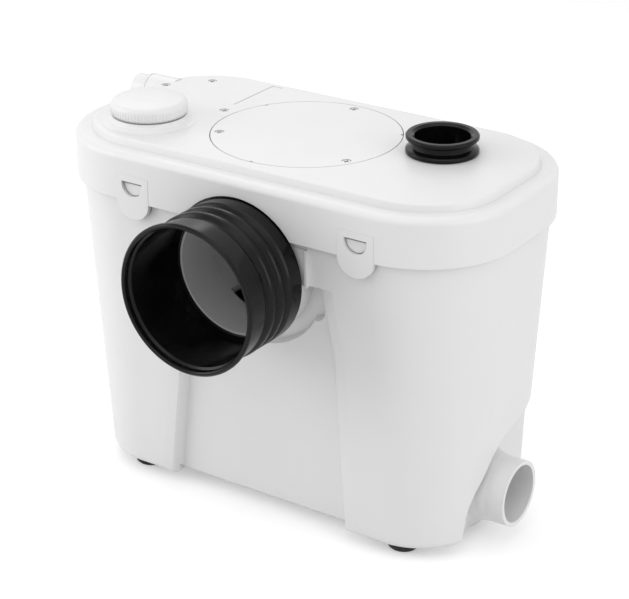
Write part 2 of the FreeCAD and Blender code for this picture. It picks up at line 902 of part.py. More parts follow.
def window(index, side, x):
    """The half-round window in a tab."""
    start = d.lid_depth / 2 - 8
    if side < 0:
        at = (x, -start, window_middle)
        direction = FRONT
        low_y = -start - 12
    else:
        at = (x, start, window_middle)
        direction = BACK
        low_y = start
    drum = rod(f"window_drum_{index}", d.window_radius, 12, at, direction)
    low = (x - d.window_radius, low_y, window_middle - d.window_radius)
    half = block(f"window_half_{index}", low, (x + d.window_radius, low_y + 12, window_middle))
    low = (x - d.window_radius, low_y, window_middle)
    rest = block(f"window_rest_{index}", low, (x + d.window_radius, low_y + 12, d.window_top))
    return fuse(f"window_{index}", [common(f"window_bowl_{index}", drum, half), rest])


def make_lid():
    """The lid with its tabs, collars, bosses and openings."""
    room = [
        lid_slab("skirt_room", d.lid_thickness, d.skirt_bottom - 20, lid_under_ledge),
        lid_slab("plateau_room", d.plateau_inset + 4, lid_under_ledge - 1, lid_under_top),
    ]
    shell = cut("lid_shell", fuse("lid_outer", lid_form()), fuse("lid_room", room))
    seat = cut(
        "lid_seat",
        lid_slab("seat_outer", d.lid_thickness - 1, gasket_top, lid_under_ledge + 1),
        lid_slab("seat_inner", rim_inset + d.wall + 1, gasket_top - 1, lid_under_ledge + 2),
    )
    boss = disc("cover_boss", d.lid_boss_radius, d.lid_boss_bottom, lid_under_top + 1)
    place(boss, d.motor_x, 0, 0)
    collar_bottom = lid_under_top - d.vent_collar_depth
    collar = turned("vent_collar", [
        (0, collar_bottom),
        (d.vent_lug_reach + d.wall, collar_bottom),
        (d.vent_lug_reach + d.wall, lid_under_top),
        (d.vent_radius + 6.5, lid_under_top),
        (d.vent_radius + 6.5, d.lid_top + 0.1),
        (d.vent_radius + 3.5, d.lid_top + 0.6),
        (d.vent_radius + 1.2, d.lid_top + 1.7),
        (d.vent_radius, d.lid_top + 3.4),
        (d.vent_radius - 0.4, d.vent_collar_top),
        (0, d.vent_collar_top),
    ])
    place(collar, d.vent_x, d.vent_y, 0)
    hood_start = d.outlet_hood_mouth
    hood_at = (-hood_start, d.riser_y, d.outlet_height)
    hood = rod("outlet_hood", d.outlet_hood_radius, hood_start - d.outlet_hood_end, hood_at, RIGHT)
    way = cable_way("cable_way", 0, lid_under_ledge)
    gland_at = (d.strip_x, d.lid_depth / 2 - 8, d.gland_height)
    gland_boss = rod("gland_boss", d.gland_boss_radius, 10, gland_at, BACK)
    pieces = [shell, seat, boss, collar, hood, way, gland_boss]
    pieces += [tab(i, side, x) for i, (side, x) in enumerate(tab_places)]
    hood_bore = outlet_notch(d.outlet_radius + 0.5, "hood_bore", 12)
    solid = cut("lid_hooded", fuse("lid_solid", pieces), hood_bore)
    recess = disc("cover_recess", d.cover_radius + d.cover_gap, cover_bottom, d.lid_top + 5)
    opening = disc("motor_opening", d.cover_opening, d.lid_boss_bottom - 1, d.lid_top)
    groove = disc("seal_groove", d.cover_opening + seal_width, seal_bottom, cover_bottom + 1)
    for tool in (recess, opening, groove):
        place(tool, d.motor_x, 0, 0)
    arch_at = (0, -d.lid_depth / 2 + 12, d.inlet_height)
    arch = rod("sleeve_arch", d.sleeve_cuff_radius + 1, 40, arch_at, FRONT)
    holes = [
        recess,
        opening,
        groove,
        arch,
        rod("vent_hole", d.vent_bore, 30, (d.vent_x, d.vent_y, lid_under_top - 10)),
        vent_slots(),
        rod("top_hole", d.top_neck, 30, (d.top_x, d.top_y, lid_under_top - 10)),
        block(
            "cable_channel",
            (d.strip_x - d.gland_bore, 11.5, d.gland_height - d.gland_bore),
            (d.strip_x + d.gland_bore, d.strip_end - d.strip_gap, d.lid_top - 2),
        ),
        block(
            "cable_channel_end",
            (d.strip_x - d.gland_bore, d.strip_end - 2, d.gland_height - d.gland_bore),
            (d.strip_x + d.gland_bore, d.lid_depth / 2 - 10, d.gland_height + d.gland_bore),
        ),
        rod("cable_cross", 2.5, 30, (d.strip_x, 15, seal_bottom - 3.7), RIGHT),
        rod("gland_hole", d.gland_radius, 40, (d.strip_x, d.lid_depth / 2 - 12, d.gland_height), BACK),
        block(
            "strip_seat",
            (d.strip_x - d.strip_width / 2 - d.strip_gap, d.strip_start, d.lid_top - d.strip_thickness),
            (d.strip_x + d.strip_width / 2 + d.strip_gap, d.strip_end, d.lid_top + 1),
        ),
    ]
    holes += [window(i, side, x) for i, (side, x) in enumerate(tab_places)]
    for x, y in lid_screw_places():
        holes.append(rod("lid_screw_bore", d.screw_shank_radius, 20, (x, y, lid_under_top - 10)))
        holes.append(rod("lid_screw_sink", d.screw_head_radius + 0.3, 5, (x, y, d.lid_top - 2)))
    for x, y in round_the(d.motor_x, 0, d.cover_screw_circle, screw_angles):
        holes.append(rod("cover_screw_bore", d.screw_shank_radius, 20, (x, y, cover_bottom - 7)))
    for x, y in round_the(d.motor_x, 0, d.cover_screw_circle, housing_screw_angles):
        holes.append(rod("housing_screw_bore", d.screw_shank_radius, 6, (x, y, d.lid_boss_bottom - 1)))
    return keep(cut("Lid", solid, fuse("lid_holes", holes)), "lid")


def vent_slots():
    """The two slots that let the vent cap's lugs out once it is turned."""
    half = d.vent_lug_reach + d.clearance
    side = d.vent_lug_width / 2 + 0.5
    turn = math.radians(vent_turn)
    slots = doc.addObject("Part::Box", "vent_slots")
    bind(slots, "Length", half * 2)
    bind(slots, "Width", side * 2)
    bind(slots, "Height", 30)
    corner_x = d.vent_x - half * math.cos(turn) + side * math.sin(turn)
    corner_y = d.vent_y - half * math.sin(turn) - side * math.cos(turn)
    place(slots, corner_x, corner_y, lid_under_top - 10, FreeCAD.Rotation(V(0, 0, 1), vent_turn))
    return slots


def cable_way(name, gap, top):
    """The block that carries the cable channel back through the rim, with a gap round it."""
    half = d.cable_way_width / 2 + gap
    low = (d.strip_x - half, 4, d.cable_way_bottom - gap)
    return block(name, low, (d.strip_x + half, d.lid_depth / 2 - 1, top))


def lid_screw_places():
    """The screws beside the rear corner, the cable strip and the outlet hood."""
    return [(as_size(-128), as_size(57.2)), (d.strip_x - 3, as_size(8)), (as_size(-151.8), as_size(31))]


def rim_prism(name, inset, bottom, top):
    """An upright prism of the rim's outline moved in by an inset."""
    made = body(name)
    drawn = sketch(made, name + "_outline", "XY_Plane", bottom)
    inset = as_size(inset)
    rounded_rectangle(drawn, rim_length - inset * 2, rim_depth - inset * 2, rim_corner - inset)
    pad(made, drawn, top - bottom)
    return made


def make_lid_gasket():
    """The soft ring on the tank's rim, which dips round the outlet hood and the cable way."""
    low = d.outlet_height - d.outlet_hood_radius - d.gasket_height * 2
    outer = rim_prism("gasket_outer", 0, low, gasket_top)
    inner = rim_prism("gasket_inner", d.wall, low - 1, gasket_top + 1)
    reach = d.lid_length
    flat = block("gasket_level", (-reach, -reach, d.tank_rim_top), (reach, reach, gasket_top))
    dips = [
        outlet_notch(d.outlet_hood_radius + d.gasket_height, "gasket_hood_dip"),
        cable_way("gasket_cable_dip", d.gasket_height, gasket_top),
    ]
    band = common("gasket_band", cut("gasket_wall", outer, inner), fuse("gasket_where", [flat] + dips))
    ways = fuse("gasket_ways", [
        outlet_notch(d.outlet_hood_radius, "gasket_hood_way"),
        cable_way("gasket_cable_way", 0, d.lid_top),
    ])
    return keep(cut("Gasket", band, ways), "lid_gasket")


# Covers, caps and rubber sleeves


def make_motor_cover():
    """The round flush cover over the motor."""
    form = disc("cover_form", d.cover_radius, cover_bottom, d.lid_top)
    place(form, d.motor_x, 0, 0)
    holes = []
    for x, y in round_the(d.motor_x, 0, d.cover_screw_circle, screw_angles):
        holes.append(rod("cover_hole", d.screw_shank_radius, 10, (x, y, cover_bottom - 2)))
        holes.append(rod("cover_sink", d.screw_head_radius + d.screw_hole_gap, 5, (x, y, d.lid_top - 2)))
    for x, y in round_the(d.motor_x, 0, d.cover_radius, housing_screw_angles):
        holes.append(rod("cover_notch", 1.5, 5, (x, y, d.lid_top - 1)))
    keep(cut("MotorCover", form, fuse("cover_holes", holes)), "motor_cover")
    seal_radius = d.cover_opening + seal_width
    seal = ring("cover_seal_form", seal_radius, d.cover_opening, seal_bottom, cover_bottom)
    place(seal, d.motor_x, 0, 0)
    return seal


def screw(name, x, y, seat, length, up=1):
    """A cross-head screw whose head rests on a seat."""
    slot = 0.9
    head = rod(name + "_head", d.screw_head_radius, 1.6, (x, y, seat), (0, 0, up))
    shank = rod(name + "_shank", d.screw_shank_radius, length, (x, y, seat), (0, 0, -up))
    whole = fuse(name + "_whole", [head, shank])
    top = as_size(seat) + up * 1.6
    low = top - 1
    bars = []
    for a, b in ((2.2, slot / 2), (slot / 2, 2.2)):
        corner = (as_size(x) - a, as_size(y) - b, low)
        bars.append(block(name + "_bar", corner, (as_size(x) + a, as_size(y) + b, low + 2)))
    return cut(name, whole, fuse(name + "_cross", bars))


def make_lid_fasteners():
    """Screws of the cover and of the lid, and the strip over the cable way."""
    places = round_the(d.motor_x, 0, d.cover_screw_circle, screw_angles)
    screws = [screw(f"cover_screw_{i}", x, y, d.lid_top - 2, 8) for i, (x, y) in enumerate(places)]
    keep(group("CoverScrews", screws), "motor_cover_screws")
    places = enumerate(lid_screw_places())
    screws = [screw(f"lid_screw_{i}", x, y, d.lid_top - 2, 9) for i, (x, y) in places]
    keep(group("LidScrews", screws), "lid_screws")
    half = d.strip_width / 2
    low = (d.strip_x - half, d.strip_start + d.strip_gap, d.lid_top - d.strip_thickness)
    high = (d.strip_x + half, d.strip_end - d.strip_gap, d.lid_top - d.strip_gap)
    strip = block("Strip", low, high)
    keep(strip, "cable_way_strip")
    back = d.lid_depth / 2 + 2
    reach = d.gland_reach - back
    gland = turned("Gland", [
        (d.gland_bore, -12), (d.gland_radius, -12), (d.gland_radius, 0), (d.gland_boss_radius, 0),
        (d.gland_boss_radius, 1.5), (d.gland_radius, reach), (d.gland_bore, reach),
    ])
    place(gland, d.strip_x, back, d.gland_height, turned_to(BACK))
    keep(gland, "cord_gland")


def make_vent():
    """The domed vent cap with its plug ring and the filter inside."""
    bottom = d.vent_collar_top + d.vent_gap
    side_top = bottom + d.vent_side
    crown = side_top + d.vent_crown
    ring_inner = d.vent_ring - 2
    cap = turned("vent_cap_form", [
        (0, side_top - 1.5),
        (ring_inner, side_top - 1.5),
        (ring_inner, d.vent_lug_bottom),
        (d.vent_ring, d.vent_lug_bottom),
        (d.vent_ring, bottom),
        (d.vent_radius - 1.6, bottom),
        (d.vent_radius - 0.3, bottom + 1.6),
        (d.vent_radius, side_top),
        (d.vent_radius - 13, crown - 0.5),
        (0, crown),
    ])
    round_edges(cap, ring_edge(d.vent_radius, side_top), d.vent_rounding)
    place(cap, d.vent_x, d.vent_y, 0)
    lug_top = lid_under_top - d.vent_collar_depth - d.clearance
    half = d.vent_lug_width / 2
    lugs = []
    for side in (-1, 1):
        inner = d.vent_x + (d.vent_ring - 1) * side
        outer = d.vent_x + d.vent_lug_reach * side
        first, last = (inner, outer) if side > 0 else (outer, inner)
        low = (first, d.vent_y - half, d.vent_lug_bottom)
        lugs.append(block("vent_lug", low, (last, d.vent_y + half, lug_top)))
    keep(fuse("VentCap", [cap] + lugs), "vent_cap")
    filter_pad = disc("VentFilter", ring_inner, side_top - 9.5, side_top - 1.5)
    place(filter_pad, d.vent_x, d.vent_y, 0)
    keep(filter_pad, "vent_filter")


def make_pan_sleeve():
    """The ribbed rubber sleeve for the pan outlet, turned about its run."""
    cuff = d.sleeve_cuff_radius
    front = d.sleeve_front_radius
    reach = d.sleeve_length
    over = d.spigot_mouth - d.sleeve_back
    bottom = front - d.sleeve_groove
    crest = front + d.sleeve_rib_rise
    points = [
        (d.spigot_radius, 0),
        (cuff - 1.5, 0),
        (cuff, 1.5),
        (cuff, d.sleeve_cuff_length - 1.6),
        (cuff - 1, d.sleeve_cuff_length),
        (bottom, d.sleeve_cuff_length + 1.6),
    ]
    for index in range(2):
        start = d.sleeve_first_rib + d.sleeve_rib_pitch * index
        end = start + d.sleeve_rib_width
        middle = start + d.sleeve_rib_width / 2
        points += [
            (bottom, start - 1.4),
            (crest - 0.6, start + 0.5),
            (crest, middle - 1),
            (crest, middle + 1),
            (crest - 0.6, end - 0.5),
            (bottom, end + 1.4),
        ]
    points += [
        (bottom, d.sleeve_ribs_end - 2.2),
        (front - 0.5, d.sleeve_ribs_end - 0.6),
        (front, d.sleeve_ribs_end + 0.6),
        (front + 0.4, reach - 5),
        (d.sleeve_lip_radius - 0.8, reach - 4.2),
        (d.sleeve_lip_radius, reach - 3),
        (d.sleeve_lip_radius, reach - 1.2),
        (d.sleeve_lip_radius - 1.2, reach),
        (d.sleeve_bore_radius + 2.4, reach),
        (d.sleeve_bore_radius + 1.6, reach - 0.8),
        (d.sleeve_bore_radius + 1.6, reach - 4.5),
        (d.sleeve_bore_radius, reach - 6),
        (d.sleeve_bore_radius, over + 8),
        (d.spigot_radius - d.spigot_wall + 1.5, over + 3),
        (d.spigot_radius - d.spigot_wall + 1.5, over),
        (d.spigot_radius, over),
    ]
    sleeve = turned("PanSleeve", points)
    place(sleeve, 0, -d.sleeve_back, d.inlet_height, turned_to(FRONT))
    return keep(sleeve, "pan_inlet_sleeve")


def make_top_sleeve():
    """The double-flanged rubber sleeve of the top inlet."""
    under = 4
    upper = d.top_rim_height - d.top_flange
    low = d.lid_top
    sleeve = turned("TopSleeve", [
        (d.top_bore, lid_under_top - under),
        (d.top_neck + 1.5, lid_under_top - under),
        (d.top_neck + 3, lid_under_top),
        (d.top_neck, lid_under_top),
        (d.top_neck, low),
        (d.top_flange_radius - 0.8, low),
        (d.top_flange_radius, low + 0.8),
        (d.top_flange_radius, low + 2.6),
        (d.top_flange_radius - 0.6, low + 3.4),
        (d.top_waist_radius, low + 5.2),
        (d.top_waist_radius, upper - 1.4),
        (d.top_flange_radius - 0.8, upper),
        (d.top_flange_radius, upper + 0.8),
        (d.top_flange_radius, d.top_rim_height - 0.9),
        (d.top_flange_radius - 0.9, d.top_rim_height),
        (d.top_bore + 2.2, d.top_rim_height),
        (d.top_bore, d.top_rim_height - 1.6),
    ])
    place(sleeve, d.top_x, d.top_y, 0)
    return keep(sleeve, "top_inlet_sleeve")


def make_side_flap():
    """The hanging flap that stops back-flow out of the side inlet."""
    wall = d.alcove_face - d.wall
    seat = wall - 3
    thickness = 2.5
    face = seat - d.clearance
    pin_x = face - thickness / 2
    pin_radius = 1.5
    middle = -d.stub_offset
    inner = face - thickness
    plate = rod("flap_plate", d.stub_radius - 1, thickness, (inner, middle, d.stub_height), RIGHT)
    arm = block("flap_arm", (inner, middle - 5, d.stub_height), (face, middle + 5, flap_height))
    eye = rod("flap_eye", 2.7, 10, (pin_x, middle - 5, flap_height), BACK)
    hole = rod("flap_hole", pin_radius + d.running_gap, 20, (pin_x, middle - 10, flap_height), BACK)
    keep(cut("SideFlap", fuse("flap_form", [plate, arm, eye]), hole), "side_inlet_flap")
    keep(rod("SideFlapPin", pin_radius, 18, (pin_x, middle - 9, flap_height), BACK), "side_flap_pin")
    lugs = []
    low = flap_height - 4
    high = flap_height + 4
    for side in (-1, 1):
        start = middle + 5.6 if side > 0 else middle - 9
        lugs.append(block("flap_lug", (pin_x - 3.5, start, low), (wall, start + 3.4, high)))
    plate = block("flap_bracket", (wall - 1.6, middle - 9, low), (wall, middle + 9, high))
    hole = rod("lug_hole", pin_radius, 30, (pin_x, middle - 15, flap_height), BACK)
    keep(cut("SideFlapBracket", fuse("bracket_form", [plate] + lugs), hole), "side_flap_bracket")


# Discharge line


def bent_pipe(name, radius, bore, start, turn_height, bend, end):
    """A pipe that runs upright from a level and turns to run along X."""
    made = body(name)
    drawn = sketch(made, name + "_run", "XZ_Plane")
    corner = V(0, turn_height.value, 0)
    first = V(0, as_size(start).value, 0)
    last = V(as_size(end).value, turn_height.value, 0)
    before = corner + (first - corner).normalize() * bend.value
    after = corner + (last - corner).normalize() * bend.value
    centre = before + after - corner
    drawn.addGeometry([Part.LineSegment(first, before), Part.LineSegment(after, last)], False)
    round_corner(drawn, 0, 1, arc_between(centre, bend.value, before, after), bend, (0, turn_height))
    pin(drawn, 0, 1, 0, start)
    pin(drawn, 1, 2, end, turn_height)
    ring_sketch = sketch(made, name + "_section", "XY_Plane", start)
    circle(ring_sketch, 0, 0, radius)
    circle(ring_sketch, 0, 0, bore)
    swept = made.newObject("PartDesign::AdditivePipe", "Pipe")
    swept.Profile = ring_sketch
    swept.Spine = (drawn, [])
    return made


def make_discharge():
    """Riser, non-return valve and the outlet elbow."""
    volute_end = as_size(-100)
    riser = bent_pipe(
        "Riser",
        d.riser_radius,
        d.riser_bore,
        d.valve_bottom + 10,
        d.riser_foot,
        d.riser_bend,
        volute_end - d.riser_x,
    )
    place(riser, d.riser_x, d.riser_y, 0)
    keep(riser, "riser_pipe")
    elbow = bent_pipe(
        "Elbow",
        d.outlet_radius,
        d.outlet_bore,
        d.valve_top - 4,
        d.outlet_height,
        d.outlet_bend,
        -d.outlet_end - d.riser_x,
    )
    place(elbow, d.riser_x, d.riser_y, 0)
    start = -d.outlet_hood_mouth - d.clearance
    form_at = (start, d.riser_y, d.outlet_height)
    bore_at = (start + 1, d.riser_y, d.outlet_height)
    collar = cut(
        "outlet_collar",
        rod("collar_form", d.outlet_hood_radius, d.outlet_collar, form_at, LEFT),
        rod("collar_bore", d.outlet_radius - 0.5, d.outlet_collar + 2, bore_at, LEFT),
    )
    keep(fuse("DischargeElbow", [elbow, collar]), "discharge_elbow")
    seal = ring("ElbowSeal", d.outlet_radius + 4, d.outlet_radius, d.valve_top, d.valve_top + 4)
    place(seal, d.riser_x, d.riser_y, 0)
    keep(seal, "elbow_seal")
    make_valve()


def make_valve():
    """The non-return valve: chamber, flap and pin."""
    seat_under = d.valve_seat - 7.7
    chamber = turned("valve_chamber_form", [
        (d.riser_radius, d.valve_bottom),
        (d.riser_radius + 3, d.valve_bottom),
        (d.riser_radius + 3, seat_under - 2),
        (d.valve_radius, seat_under + 2),
        (d.valve_radius, d.valve_top),
        (d.outlet_radius, d.valve_top),
        (d.outlet_radius, d.valve_top - 4),
        (d.valve_chamber, d.valve_top - 4),
        (d.valve_chamber, d.valve_seat),
        (d.riser_bore, d.valve_seat),
        (d.riser_bore, seat_under),
        (d.riser_radius, seat_under),
    ])
    place(chamber, d.riser_x, d.riser_y, 0)
    pin_x = d.riser_x + d.valve_pin_offset
    pin_radius = 1.3
    level = d.valve_seat + 2.2
    length = 24
    pin_hole = rod("valve_pin_hole", pin_radius, length, (pin_x, d.riser_y - length / 2, level), BACK)
    keep(cut("ValveBody", chamber, pin_hole), "valve_body")
    pin_rod = rod("ValvePin", pin_radius, length, (pin_x, d.riser_y - length / 2, level), BACK)
    keep(pin_rod, "valve_pin")
    low = d.valve_seat + d.clearance
    plate = rod("valve_plate", d.valve_flap_radius, 2.4, (d.riser_x, d.riser_y, low))
    arm = block("valve_arm", (d.riser_x, d.riser_y - 4, low), (pin_x, d.riser_y + 4, low + 2.4))
    eye = rod("valve_eye", 1.9, 8, (pin_x, d.riser_y - 4, level), BACK)
    hole = rod("valve_eye_hole", pin_radius + d.running_gap, 20, (pin_x, d.riser_y - 10, level), BACK)
    keep(cut("ValveFlap", fuse("valve_flap_form", [plate, arm, eye]), hole), "valve_flap")


# Motor


def on_shaft(thing, label):
    """Stands a piece on the shaft's line and keeps it."""
    place(thing, d.motor_x, 0, 0)
    return keep(thing, label)


def tie_bolt_places():
    return round_the(d.motor_x, 0, d.stator_radius - 2.6, (45, 135, 225, 315))


def bolt_holes(name, radius, bottom, length, places):
    return fuse(name, [rod(name + "_hole", radius, length, (x, y, bottom)) for x, y in places])


def make_motor_housing():
    """The dry bell that hangs from the lid and holds the motor."""
    floor_top = d.housing_floor + d.wall
    bearing_low = floor_top - 11
    seal_low = bearing_low - 9
    form = turned("housing_form", [
        (d.bearing_radius, floor_top),
        (d.bearing_radius, bearing_low),
        (d.bearing_radius - 1, bearing_low),
        (d.bearing_radius - 1, seal_low),
        (d.shaft_radius + 1, seal_low),
        (d.shaft_radius + 1, d.hub_bottom),
        (d.hub_radius, d.hub_bottom),
        (d.hub_radius, d.housing_floor - 6),
        (d.hub_radius + 6, d.housing_floor),
        (d.housing_radius - 3, d.housing_floor),
        (d.housing_radius, d.housing_floor + 3),
        (d.housing_radius, d.lid_boss_bottom - 4),
        (d.housing_flange_radius, d.lid_boss_bottom - 4),
        (d.housing_flange_radius, d.lid_boss_bottom),
        (d.housing_bore, d.lid_boss_bottom),
        (d.housing_bore, floor_top),
    ])
    place(form, d.motor_x, 0, 0)
    places = round_the(d.motor_x, 0, d.cover_screw_circle, housing_screw_angles)
    holes = bolt_holes("housing_holes", d.screw_shank_radius, d.lid_boss_bottom - 6, 10, places)
    keep(cut("MotorHousing", form, holes), "motor_housing")
    seat = d.lid_boss_bottom - 4
    screws = [screw(f"housing_screw_{i}", x, y, seat, 8, -1) for i, (x, y) in enumerate(places)]
    keep(group("HousingScrews", screws), "motor_housing_screws")
    bearing_bore = d.shaft_radius + d.running_gap
    bearing_high = bearing_low + d.bearing_width
    bearing = ring("LowerBearing", d.bearing_radius, bearing_bore, bearing_low, bearing_high)
    on_shaft(bearing, "lower_bearing")
    seal = ring("ShaftSeal", d.bearing_radius - 1, d.shaft_radius + d.running_gap, seal_low, seal_low + 7)
    on_shaft(seal, "shaft_seal")


def make_stator():
    """The laminated core with its two end windings and tie bolts."""
    top = d.stator_bottom + d.stator_height
    places = tie_bolt_places()
    core = ring("core_form", d.stator_radius, d.stator_bore, d.stator_bottom, top)
    place(core, d.motor_x, 0, 0)
    holes = bolt_holes("core_holes", 1.6, d.stator_bottom - 1, d.stator_height + 2, places)
    keep(cut("StatorCore", core, holes), "stator_core")
    coils = []
    for name, low in (("lower_coil", d.stator_bottom - d.winding_height), ("upper_coil", top)):
        inner = d.stator_bore + 1.5
        high = low + d.winding_height
        coil = turned(name, [
            (inner, low + 1.5),
            (inner + 1.5, low),
            (d.winding_radius - 1.5, low),
            (d.winding_radius, low + 1.5),
            (d.winding_radius, high - 1.5),
            (d.winding_radius - 1.5, high),
            (inner + 1.5, high),
            (inner, high - 1.5),
        ])
        place(coil, d.motor_x, 0, 0)
        coils.append(coil)
    keep(group("StatorWindings", coils), "stator_windings")
    shield_top = d.shield_bottom + d.shield_thickness
    bearing_top = d.shield_bottom
    shield = turned("shield_form", [
        (d.shaft_radius + 0.6, shield_top),
        (d.shaft_radius + 0.6, bearing_top),
        (d.bearing_radius, bearing_top),
        (d.bearing_radius, bearing_top - d.bearing_width - 1),
        (d.bearing_radius + 3, bearing_top - d.bearing_width - 1),
        (d.bearing_radius + 3, bearing_top),
        (d.housing_bore - 0.1, bearing_top),
        (d.housing_bore - 0.1, shield_top),
    ])
    place(shield, d.motor_x, 0, 0)
    holes = bolt_holes("shield_holes", 1.6, d.shield_bottom - 2, 8, places)
    keep(cut("EndShield", shield, holes), "motor_end_shield")
    bolt_low = d.housing_floor + d.wall
    spacers = []
    for index, (x, y) in enumerate(places):
        stem = rod(f"tie_bolt_{index}", 1.6, shield_top - bolt_low + 2, (x, y, bolt_low))
        head = rod(f"tie_head_{index}", 2.8, 2.2, (x, y, shield_top))
        foot = rod(f"tie_foot_{index}", 2.4, d.stator_bottom - bolt_low, (x, y, bolt_low))
        post = rod(f"tie_post_{index}", 2.4, d.shield_bottom - top, (x, y, top))
        spacers.append(fuse(f"tie_{index}", [stem, head, foot, post]))
    keep(group("TieBolts", spacers), "motor_tie_bolts")
    bearing_bore = d.shaft_radius + d.running_gap
    bearing_low = bearing_top - d.bearing_width
    bearing = ring("UpperBearing", d.bearing_radius, bearing_bore, bearing_low, bearing_top)
    on_shaft(bearing, "upper_bearing")


def make_rotor():
    """Rotor core, shaft, cutter and impeller, which turn together."""
    low = d.stator_bottom + 1
    core = turned("RotorCore", [
        (d.shaft_radius, low), (d.rotor_radius, low), (d.rotor_radius, low + d.stator_height - 2),
        (d.shaft_radius, low + d.stator_height - 2),
    ])
    on_shaft(core, "rotor_core")
    shaft = turned("Shaft", [
        (0, d.shaft_bottom), (d.shaft_radius - 0.6, d.shaft_bottom), (d.shaft_radius, d.shaft_bottom + 0.6),
        (d.shaft_radius, d.shaft_top - 0.6), (d.shaft_radius - 0.6, d.shaft_top), (0, d.shaft_top),
    ])
    on_shaft(shaft, "motor_shaft")
    make_blade()
    make_impeller()


def make_blade():
    """The two-armed cutter with its hub and nut."""
    bar = prism("blade_bar", "XY_Plane", d.blade_height, d.blade_thickness, [
        (-d.blade_span / 2, -d.blade_width / 2),
        (-d.blade_span / 2 + 9, -d.blade_width / 2),
        (0, -d.blade_width / 2 - 2),
        (d.blade_span / 2, -d.blade_width / 2 + 5),
        (d.blade_span / 2, d.blade_width / 2),
        (d.blade_span / 2 - 9, d.blade_width / 2),
        (0, d.blade_width / 2 + 2),
        (-d.blade_span / 2, d.blade_width / 2 - 5),
    ])
    place(bar, d.motor_x, 0, 0)
    tips = []
    for side in (-1, 1):
        middle = d.motor_x + (d.blade_span / 2 - 3) * side
        low = (middle - 1.5, -4, d.blade_height)
        tips.append(block("blade_tip", low, (middle + 1.5, 4, blade_top + 9)))
    hub = disc("blade_hub", d.shaft_radius + 5, d.blade_height - 5, blade_top)
    place(hub, d.motor_x, 0, 0)
    bore = rod("blade_bore", d.shaft_radius, 40, (d.motor_x, 0, d.blade_height - 20))
    keep(cut("Blade", fuse("blade_form", [bar, hub] + tips), bore), "macerator_blade")
    keep(hex_nut("BladeNut", blade_top, 5), "blade_nut")


def hex_nut(name, bottom, height):
    """A six-sided nut on the shaft."""
    flat = d.shaft_radius + 3.5
    corners = []
    for i in range(6):
        corners.append((flat * math.cos(math.radians(60 * i)), flat * math.sin(math.radians(60 * i))))
    form = prism(name + "_form", "XY_Plane", bottom, height, corners)
    place(form, d.motor_x, 0, 0)
    bore = rod(name + "_bore", d.shaft_radius, as_size(height) + 4, (d.motor_x, 0, as_size(bottom) - 2))
    return cut(name, form, bore)


def make_impeller():
    """The open six-vane impeller with its nut."""
    shroud = disc("impeller_disc", d.impeller_radius, impeller_top - 3, impeller_top)
    hub = disc("impeller_hub", d.shaft_radius + 5, impeller_bottom, impeller_top + 1)
    pieces = [shroud, hub]
    for thing in pieces:
        place(thing, d.motor_x, 0, 0)
    for i in range(6):
        vane = doc.addObject("Part::Box", f"vane_{i}")
        bind(vane, "Length", d.impeller_radius - 2)
        bind(vane, "Width", 2.2)
        bind(vane, "Height", d.impeller_height - 1)
        place(vane, d.motor_x, 0, impeller_bottom, FreeCAD.Rotation(V(0, 0, 1), 60 * i))
        pieces.append(vane)
    bore = rod("impeller_bore", d.shaft_radius, 40, (d.motor_x, 0, impeller_bottom - 10))
    keep(cut("Impeller", fuse("impeller_form", pieces), bore), "impeller")
    keep(hex_nut("ImpellerNut", impeller_bottom - 5, 5), "impeller_nut")


def make_basket():
    """The grid basket round the cutter, slotted all round."""
    inner = d.basket_radius - d.basket_wall
    form = turned("Basket", [
        (d.shaft_radius + 3, d.volute_top),
        (d.basket_radius, d.volute_top),
        (d.basket_radius, d.basket_top),
        (inner, d.basket_top),
        (inner, d.volute_top + d.basket_wall),
        (d.shaft_radius + 3, d.volute_top + d.basket_wall),
    ])
    slot = sketch(form, "slot", "XZ_Plane")
    half = d.basket_slot_width / 2
    low = d.volute_top + 6
    high = d.basket_top - 8
    outline(slot, [(-half, low), (half, low), (half, high), (-half, high)])
    doc.recompute()
    opening = form.newObject("PartDesign::Pocket", "SlotCut")
    opening.Profile = slot
    opening.Type = 0
    bind(opening, "Length", d.basket_radius + 5)
    form.Tip = opening
    doc.recompute()
    around = form.newObject("PartDesign::PolarPattern", "Slots")
    around.Originals = [opening]
    around.Axis = (slot, ["V_Axis"])
    around.Angle = 360
    around.Occurrences = 24
    form.Tip = around
    return on_shaft(form, "grid_basket")


